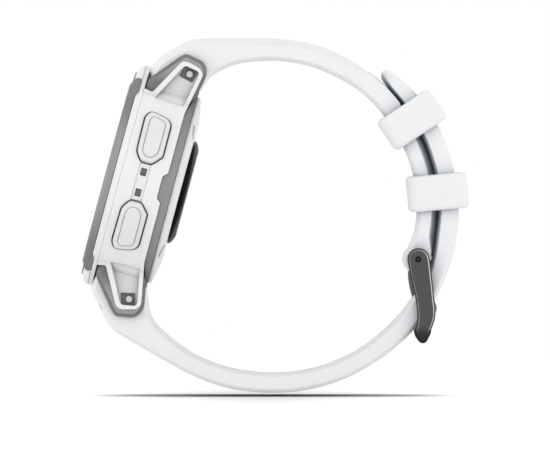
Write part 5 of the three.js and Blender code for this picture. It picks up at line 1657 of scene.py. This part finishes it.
@dataclass
class Strap:
    """The buckle half, and the half with the holes."""

    bench: Bench
    hole_pitch: float = 6.6
    hole_half: Pair = (2.6, 1.2)
    buckled_hole: Pair = (22.85, -17.16)
    holes_each_way: int = 5
    bar_bore: float = 1.55
    pin_bore: float = 1.05
    knuckle: Pair = (22.3, -9.35)  # the thick end round the buckle pin, as [x, z]
    knuckle_radius: float = 2.4
    slot: Pair = (22.05, -9.7)  # the room for the tongue, as [x, z]
    slot_half: Pair = (3.55, 2.8)
    slot_y: Pair = (-1.25, 1.25)
    flare: tuple[Pair, ...] = ((1.1, -3.2), (0.0, -1.35), (0.0, 1.35), (1.1, 3.2))  # margin and level

    def buckle_half(self) -> StrapBand:
        """The half from the upper lugs to the buckle."""
        free = [
            lug_pair((2.95, 17.6), (11.9, 17.6)), lug_pair((2.85, 20.4), (12.8, 20.2)),
            lug_pair((5, 23.5), (12.95, 20.55)), ((-20.3, 28), (-13.77, 23.2)),
            ((-17.6, 29.4), (-12.4, 24.05)), ((-14, 29.7), (-10.3, 25.0)), ((-8.48, 29.7), (-7, 25.65)),
            ((-3, 29.65), (-3, 25.85)), ((1.19, 29.26), (0.4, 25.55)), ((5.58, 28.25), (4.2, 24.65)),
            ((10.02, 26.2), (7.9, 23.07)), ((13.45, 24.08), (11, 21.37)),
        ]
        bent = [
            (28.32, 24.6, 52), (28.12, 24.42, 46), (27.93, 24.24, 40), (27.77, 24.08, 34),
            (27.74, 24.08, 23), (27.74, 24.1, 10), (27.76, 24.1, -2), (27.82, 24.08, -10),
            (28.0, 23.88, -15), (28.18, 23.55, -19), (28.3, 23.35, -22),
        ]
        return StrapBand(
            free + [arc_pair(*row) for row in bent], outer_corner=(5.0, 1.25), inner_corner=(0.8, 0.6),
            side_cut=0.15, crown=(
                (0.0, 1.0), (0.46, 1.0), (0.53, 0.15), (0.63, 0.15), (0.67, 1.0), (0.88, 1.0),
                (0.91, 0.6), (0.95, 0.15), (1.0, 0.15),
            ),
        )

    def holed_half(self) -> StrapBand:
        """The half from the lower lugs round to its free tip."""
        free = [
            lug_pair((3, -17.6), (11.9, -17.6)), lug_pair((2.62, -19.9), (12.8, -20)),
            lug_pair((2.66, -20.5), (12.95, -20.25)), lug_pair((4.56, -22.73), (13.1, -20.5)),
            ((-33.02, -18.75), (-24.96, -17.6)), ((-32.3, -20.25), (-24.86, -18.3)),
            ((-30.9, -21.8), (-24.43, -19.5)), ((-29.4, -22.85), (-23.75, -20.6)),
            ((-26.36, -24.6), (-22.65, -21.76)), ((-21.88, -27.24), (-19.83, -24.18)),
            ((-16.96, -29.88), (-15.59, -26.73)), ((-10.99, -31.92), (-10.22, -28.52)),
            ((-4, -32.73), (-3.91, -29.32)), ((3.02, -32.24), (2.53, -28.82)),
            ((10.09, -30.13), (8.59, -26.99)), ((16.09, -26.64), (13.83, -24.06)),
        ]
        bent = [
            (32.0, 28.38, -45), (31.85, 28.3, -37), (31.7, 28.36, -28), (31.58, 28.31, -22),
            (31.54, 28.19, -19), (31.5, 28.01, -15), (31.46, 27.83, -10), (31.38, 27.77, -2),
            (31.22, 27.75, 10), (31.14, 27.75, 23), (31.12, 27.79, 34), (31.02, 27.97, 40),
            (30.88, 28.14, 46), (30.68, 28.48, 50), (30.5, 29.0, 52.9),
        ]
        return StrapBand(
            free + [arc_pair(*row) for row in bent], outer_corner=(0.9, 0.6), inner_corner=(3.4, 0.55),
            tip_start=0.93,
        )

    def hole(self, x: float, z: float, direction: Points) -> Skin:
        """A cutter for a slot-shaped hole along the strap, flared a little at both faces.

        Its rings are a stadium, wider by a margin that grows towards both faces.
        """
        half_length, radius = self.hole_half
        reach = half_length - radius
        stadium = np.vstack([arc(radius, -90, 90, 17, reach), arc(radius, 90, 270, 17, -reach)])
        margins, levels = zip(*self.flare)
        rings = stacked([inset(stadium, -margin) for margin in margins], levels)
        along = Vector((direction[0], 0, direction[1]))
        sideways = Vector((0, 1, 0))
        turn = Matrix((along, sideways, along.cross(sideways))).transposed().to_4x4()
        return net(rings, capped=True).moved(Matrix.Translation((x, 0, z)) @ turn)

    def holes(self, band: StrapBand) -> list[Skin]:
        """The holes at even steps along the strap's middle line, from the one that the tongue is in."""
        share = np.linspace(0, 1, 1600)
        outer, inner = band.rails(share)
        middle = (outer + inner) / 2
        along = np.concatenate([[0], np.cumsum(np.linalg.norm(np.diff(middle, axis=0), axis=1))])
        nearest = np.argmin(np.linalg.norm(middle - np.array(self.buckled_hole), axis=1))
        steps = np.arange(-self.holes_each_way, self.holes_each_way + 1) * self.hole_pitch
        at = np.array([np.interp(along[nearest] + steps, along, middle[:, k]) for k in (0, 1)]).T
        ahead = np.array([np.interp(along[nearest] + steps + 0.2, along, middle[:, k]) for k in (0, 1)]).T
        return [self.hole(x, z, unit(next_point - (x, z))) for (x, z), next_point in zip(at, ahead)]

    def slit(self) -> Skin:
        """A cutter for the short mould slit in the right side by the lower lugs."""
        corners = ((4.7, -22.75), (4.9, -22.75), (5.55, -23.5), (5.35, -23.5))
        return across(np.array([case_point(*place) for place in corners]), -BEYOND, -9.0)

    def bore(self, sign: int) -> Solid:
        """The hole for a spring bar."""
        return Solid(rod_across(self.bar_bore, THROUGH, *case_point(BAR[0], sign * BAR[1])))

    def build(self) -> None:
        """Builds both halves."""
        upper = self.buckle_half()
        width = (-upper.half_width, upper.half_width)
        knuckle = Solid(rod_across(self.knuckle_radius, width, *self.knuckle, 0.7, 72))
        slot = Solid(across(rounded_box(*self.slot_half, 0.3) + self.slot, *self.slot_y))
        pin_bore = Solid(rod_across(self.pin_bore, THROUGH, *PIN))
        upper_solid = (Solid(upper.skin()) | knuckle).without([self.bore(1), pin_bore, slot])
        self.bench.mount("strap_buckle_half", upper_solid, "buckle_strap", WHITE_SILICONE, 40)
        lower = self.holed_half()
        holes = [Solid(skin) for skin in self.holes(lower)]
        lower_solid = (Solid(lower.skin()) - self.bore(-1)).without([*holes, Solid(self.slit())])
        self.bench.mount("strap_holed_half", lower_solid, "holed_strap", WHITE_SILICONE, 40)


@dataclass
class Keepers:
    """Two loops round both layers of the strap."""

    bench: Bench
    # node, angle about the strap's arc centre, distance from it, height and length
    rows: tuple[tuple[str, float, float, float, float], ...] = (
        ("upper_keeper", 33.4, 27.72, 10.8, 6.15), ("lower_keeper", 5.15, 27.78, 10.55, 6.3),
    )
    wall: float = 1.35
    opening_half_width: float = 9.35
    corners: Pair = (1.75, 0.7)  # of the outer and of the inner outline
    edges: Pair = (0.75, 0.22)

    def loop(self, height: float, length: float) -> Skin:
        """A loop with soft edges.

        The outer wall's outline is set in on a quarter circle near both ends, the inner wall's is set out
        the same way by less, and the rows run up the outer wall and back down the inner one.
        """
        outer = rounded_box(height / 2, self.opening_half_width + self.wall, self.corners[0])
        inner = rounded_box(height / 2 - self.wall, self.opening_half_width, self.corners[1])
        rows = []
        for outline, radius, sign in ((outer, self.edges[0], 1), (inner, self.edges[1], -1)):
            margin, drop = quarter(7)
            levels = np.concatenate([-length / 2 + radius * drop, length / 2 - radius * drop[::-1]])
            margins = sign * radius * np.concatenate([margin, margin[::-1]])
            rows.append(stacked([inset(outline, m) for m in margins], levels)[::sign])
        return net(np.concatenate(rows), wrap_rows=True)

    def build(self) -> None:
        """Builds both keepers in their places on the strap's arc."""
        for node, degrees, radius, height, length in self.rows:
            place = (
                Matrix.Translation((ARC_CENTRE[0], 0, ARC_CENTRE[1]))
                @ Matrix.Rotation(-math.radians(degrees), 4, "Y") @ Matrix.Translation((radius, 0, 0))
            )
            self.bench.mount(node + "_loop", Solid(self.loop(height, length), place), node, WHITE_SILICONE)


# ---------------------------------------------------------------------------------------------
# Buckle
# ---------------------------------------------------------------------------------------------


@dataclass
class Buckle:
    """The pin buckle: a frame of two bevelled ears and a crossbar, a tongue and a pin."""

    bench: Bench
    ear_y: Pair = (9.4, 11.0)
    ear_top: float = 1.98
    ear_bevels: Pair = (0.45, 0.2)
    ear_edge: tuple[Pair, ...] = (
        (24.74, -10.2), (24.93, -12.0), (25.2, -14.45), (25.38, -16.3), (25.5, -17.2), (25.63, -18.5),
        (25.49, -19.65), (25.16, -20.8), (24.42, -22.5), (23.92, -23.7), (23.55, -24.02), (23.06, -24.02),
        (22.69, -23.72), (22.19, -23.1), (21.98, -22.25), (22.02, -21.6), (22.29, -20.6), (22.38, -19.4),
        (22.32, -18.2), (22.19, -16.95), (21.88, -15.3), (21.27, -12.75), (20.96, -11.1),
    )
    ridge: tuple[Pair, ...] = (
        (25.2, -16.0), (25.42, -16.5), (25.84, -17.5), (25.86, -18.0), (25.64, -18.6), (25.0, -18.6),
        (24.8, -16.2),
    )
    crossbar: tuple[Pair, ...] = (
        (22.3, -22.9), (22.38, -23.38), (22.97, -23.97), (23.56, -24.03), (24.03, -23.73), (24.74, -22.32),
        (24.9, -21.6), (23.9, -21), (22.9, -21.9),
    )
    crossbar_overlap: float = 0.6  # how far it reaches into each ear
    notch: tuple[Pair, ...] = ((23, -20), (26, -20), (26, -22.4), (23.5, -22.4))
    notch_half: float = 1.25
    tongue_line: tuple[Pair, ...] = (
        (21.35, -9.6), (21.3, -12.4), (21.75, -15), (22.65, -17.6), (23.7, -20), (24.15, -21.7),
    )
    tongue_half: Pair = (0.8, 0.45)
    pin_bores: tuple[tuple[float, Pair], ...] = ((0.8, (-9.9, 9.9)), (0.55, THROUGH))

    def frame(self) -> Solid:
        """Both ears and the crossbar, with the pin's holes and a notch for the tongue's end."""
        top = arc(self.ear_top, 172, 8, 16, PIN[0] + 0.05, PIN[1])
        outline = even(softened(np.vstack([top, self.ear_edge]), 0.4, 4), 110)
        low, high = self.ear_y
        ears = [
            Solid(bevelled(outline, 0.01, span, bevels))
            for span, bevels in (((-high, -low), self.ear_bevels), ((low, high), self.ear_bevels[::-1]))
        ]
        reach = low + self.crossbar_overlap
        bar = Solid(across(softened(self.crossbar, 0.3), -reach, reach))
        notch = Solid(across(softened(self.notch, 0.2), -self.notch_half, self.notch_half))
        bores = [Solid(rod_across(radius, span, *PIN)) for radius, span in self.pin_bores]
        return bar.with_all(ears).without([*bores, notch])

    def tongue(self) -> Solid:
        """A ring round the pin with a curved blade: a rounded section swept along a smooth line."""
        share = np.linspace(0, 1, 48)
        line = smooth_rail(np.array(self.tongue_line), share)
        ahead = unit(np.gradient(line, axis=0))
        half_y, half = self.tongue_half
        thin = half * (1 - 0.35 * np.clip((share - 0.85) / 0.15, 0, 1) ** 2)
        narrow = half_y * (1 - 0.3 * np.clip((share - 0.9) / 0.1, 0, 1) ** 2)
        section = rounded_box(1, 1, 0.45, 5)
        side = np.stack([-ahead[:, 1], ahead[:, 0]], 1)
        reach = section[None, :, 1] * thin[:, None]
        points = np.stack([
            line[:, :1] + side[:, :1] * reach, section[None, :, 0] * narrow[:, None] + 0 * reach,
            line[:, 1:] + side[:, 1:] * reach,
        ], -1)
        eye = Solid(rod_across(1.6, (-half_y, half_y), *PIN, 0.2, 56))
        return (eye | Solid(net(points, capped=True))) - Solid(rod_across(0.85, THROUGH, *PIN))

    def build(self) -> None:
        """Builds the buckle."""
        self.bench.mount("buckle_ears", self.frame(), "buckle_frame", BUCKLE_METAL)
        # The ridge's lighter metal is a painted highlight.
        ridge = Solid(across(softened(self.ridge, 0.2), -10.4, 10.4, 0.15))
        ridge = ridge - Solid(block((20, 30), (-9.5, 9.5), (-30, 0)))
        self.bench.mount("buckle_ridge", ridge, "buckle_frame", RIDGE_HIGHLIGHT_METAL)
        self.bench.mount("buckle_blade", self.tongue(), "buckle_tongue", TONGUE_METAL)
        shaft = Solid(rod_across(0.75, (-9.15, 9.15), *PIN, 0.08, 48))
        shaft = shaft | Solid(rod_across(0.3, (-10.5, 10.5), *PIN, 0.1))
        self.bench.mount("buckle_shaft", shaft, "buckle_pin", DARK_STEEL)


# ---------------------------------------------------------------------------------------------
# Studio
# ---------------------------------------------------------------------------------------------


@dataclass
class Lamp:
    """One soft square lamp that looks at the watch."""

    name: str
    place: tuple[float, float, float]
    size: float
    power: float

    def light(self) -> None:
        """Adds the lamp, turned to the watch. Its place and size are in metres."""
        data = bpy.data.lights.new(self.name, "AREA")
        data.shape, data.size, data.energy = "SQUARE", self.size, self.power
        lamp = bpy.data.objects.new(self.name, data)
        bpy.context.scene.collection.objects.link(lamp)
        lamp.location = self.place
        lamp.rotation_euler = (-Vector(self.place)).to_track_quat("-Z", "Y").to_euler()


@dataclass
class Studio:
    """The camera on the 3 o'clock side, soft lamps, a white world and a white floor that keeps the shadow."""

    lens: float = 800.0
    sensor: float = 36.0
    pixels_per_mm: float = 5.655
    image_width: int = 550
    elevation: float = math.radians(0.4)
    look_at: Pair = (-2.67, -3.25)
    floor_height: float = -33.4
    floor_radius: float = 330.0
    shadow_reach: float = 13.0
    shadow_power: float = 1.8
    shadow_colour: Colour = (0.085, 0.088, 0.092)
    pool: tuple[float, float, float] = (-4.4, 31.0, 150.0)  # the shade's middle, half width and half depth
    pool_shade: float = 0.36
    floor_light: float = 0.35
    ambient: float = 0.79
    lamps: tuple[Lamp, ...] = (
        Lamp("top_lamp", (-0.1, 0.15, 1.4), 1.4, 1.3),
        Lamp("front_lamp", (-0.1, -1.25, 0.42), 1.2, 2.75),
        Lamp("left_lamp", (-1.3, -0.4, 0.1), 1.0, 3.8),
        Lamp("right_lamp", (1.3, -0.4, 0.1), 1.0, 3.8),
    )

    def camera(self) -> None:
        """Adds the camera. It looks along +Y and a little down."""
        data = bpy.data.cameras.new("camera")
        data.lens, data.sensor_width = self.lens, self.sensor
        data.clip_start, data.clip_end = 0.1, 20.0
        camera = bpy.data.objects.new("camera", data)
        bpy.context.scene.collection.objects.link(camera)
        distance = self.image_width / self.pixels_per_mm * self.lens / self.sensor
        away = Vector((0, -math.cos(self.elevation), math.sin(self.elevation))) * distance
        camera.location = (Vector((self.look_at[0], 0, self.look_at[1])) + away) * MM
        camera.rotation_euler = (math.pi / 2 - self.elevation, 0, 0)
        bpy.context.scene.camera = camera

    def world(self) -> None:
        """A white world: pure white where it is seen or mirrored, and dimmer as light."""
        bpy.context.scene.world = bpy.data.worlds.new("studio")
        tree = Tree(bpy.context.scene.world)
        kinds = ("Camera", "Glossy", "Transmission")
        camera, glossy, through = (tree.add("ShaderNodeLightPath", output=f"Is {kind} Ray") for kind in kinds)
        seen = camera.most(glossy).most(through)
        background = tree.nodes["Background"]
        tree.feed(background.inputs["Color"], (1.0, 1.0, 1.0, 1.0))
        tree.feed(background.inputs["Strength"], seen * (1 - self.ambient) + self.ambient)

    def floor(self) -> None:
        """A round white floor.

        Camera rays get a little light of its own, so that it is pure white; where something stands close over
        it, its occlusion darkens both that light and its colour, and a soft pool of shade lies in front.
        """
        skin = slab(circle(self.floor_radius, 96), self.floor_height - 2, self.floor_height)
        plane = Solid(skin).object
        plane.data.transform(Matrix.Scale(MM, 4))
        plane.name = "floor"
        tree = Tree.named("floor_white")
        grain = tree.noise(tree.place(Space.WATCH), 0.4, 2.0)
        seen = tree.add("ShaderNodeLightPath", output="Is Camera Ray")
        reach = {"Distance": self.shadow_reach * MM}
        open_sky = tree.add("ShaderNodeAmbientOcclusion", {"samples": 16}, reach, "AO")
        x, y, _ = tree.split(tree.place(Space.WATCH))
        middle, half_width, half_depth = self.pool
        shade = (1 - abs(x - middle).rise(0, half_width)) * (1 - abs(y).rise(0, half_depth))
        clear = open_sky**self.shadow_power * (1 - shade * self.pool_shade)
        white = tree.blend(grain, (0.93, 0.93, 0.93), (0.96, 0.96, 0.96))
        tree.finish(
            Base_Color=tree.blend(clear.most(1 - seen), self.shadow_colour, white), Roughness=0.9,
            Emission_Color=tree.blend(seen * clear * self.floor_light, (0.0, 0.0, 0.0), (1.0, 1.0, 1.0)),
            Emission_Strength=1.0, Specular_IOR_Level=0.1,
        )
        plane.data.materials.append(tree.owner)

    def build(self) -> None:
        """Sets up the view, the lamps, the world and the floor."""
        bpy.context.scene.view_settings.view_transform = "Standard"
        self.camera()
        for lamp in self.lamps:
            lamp.light()
        self.world()
        self.floor()


def main() -> None:
    """Builds the studio and the watch."""
    logging.basicConfig(level=logging.INFO, format="%(name)s %(message)s")
    Studio().build()
    bench = Bench()
    buttons = Buttons(bench)
    case = CaseBody(bench, buttons)
    parts = (
        case, buttons, BezelSet(bench), Display(bench), Inside(bench), Back(bench, case), SpringBars(bench),
        Strap(bench), Keepers(bench), Buckle(bench),
    )
    for part in parts:
        part.build()


if __name__ == "__main__":
    main()
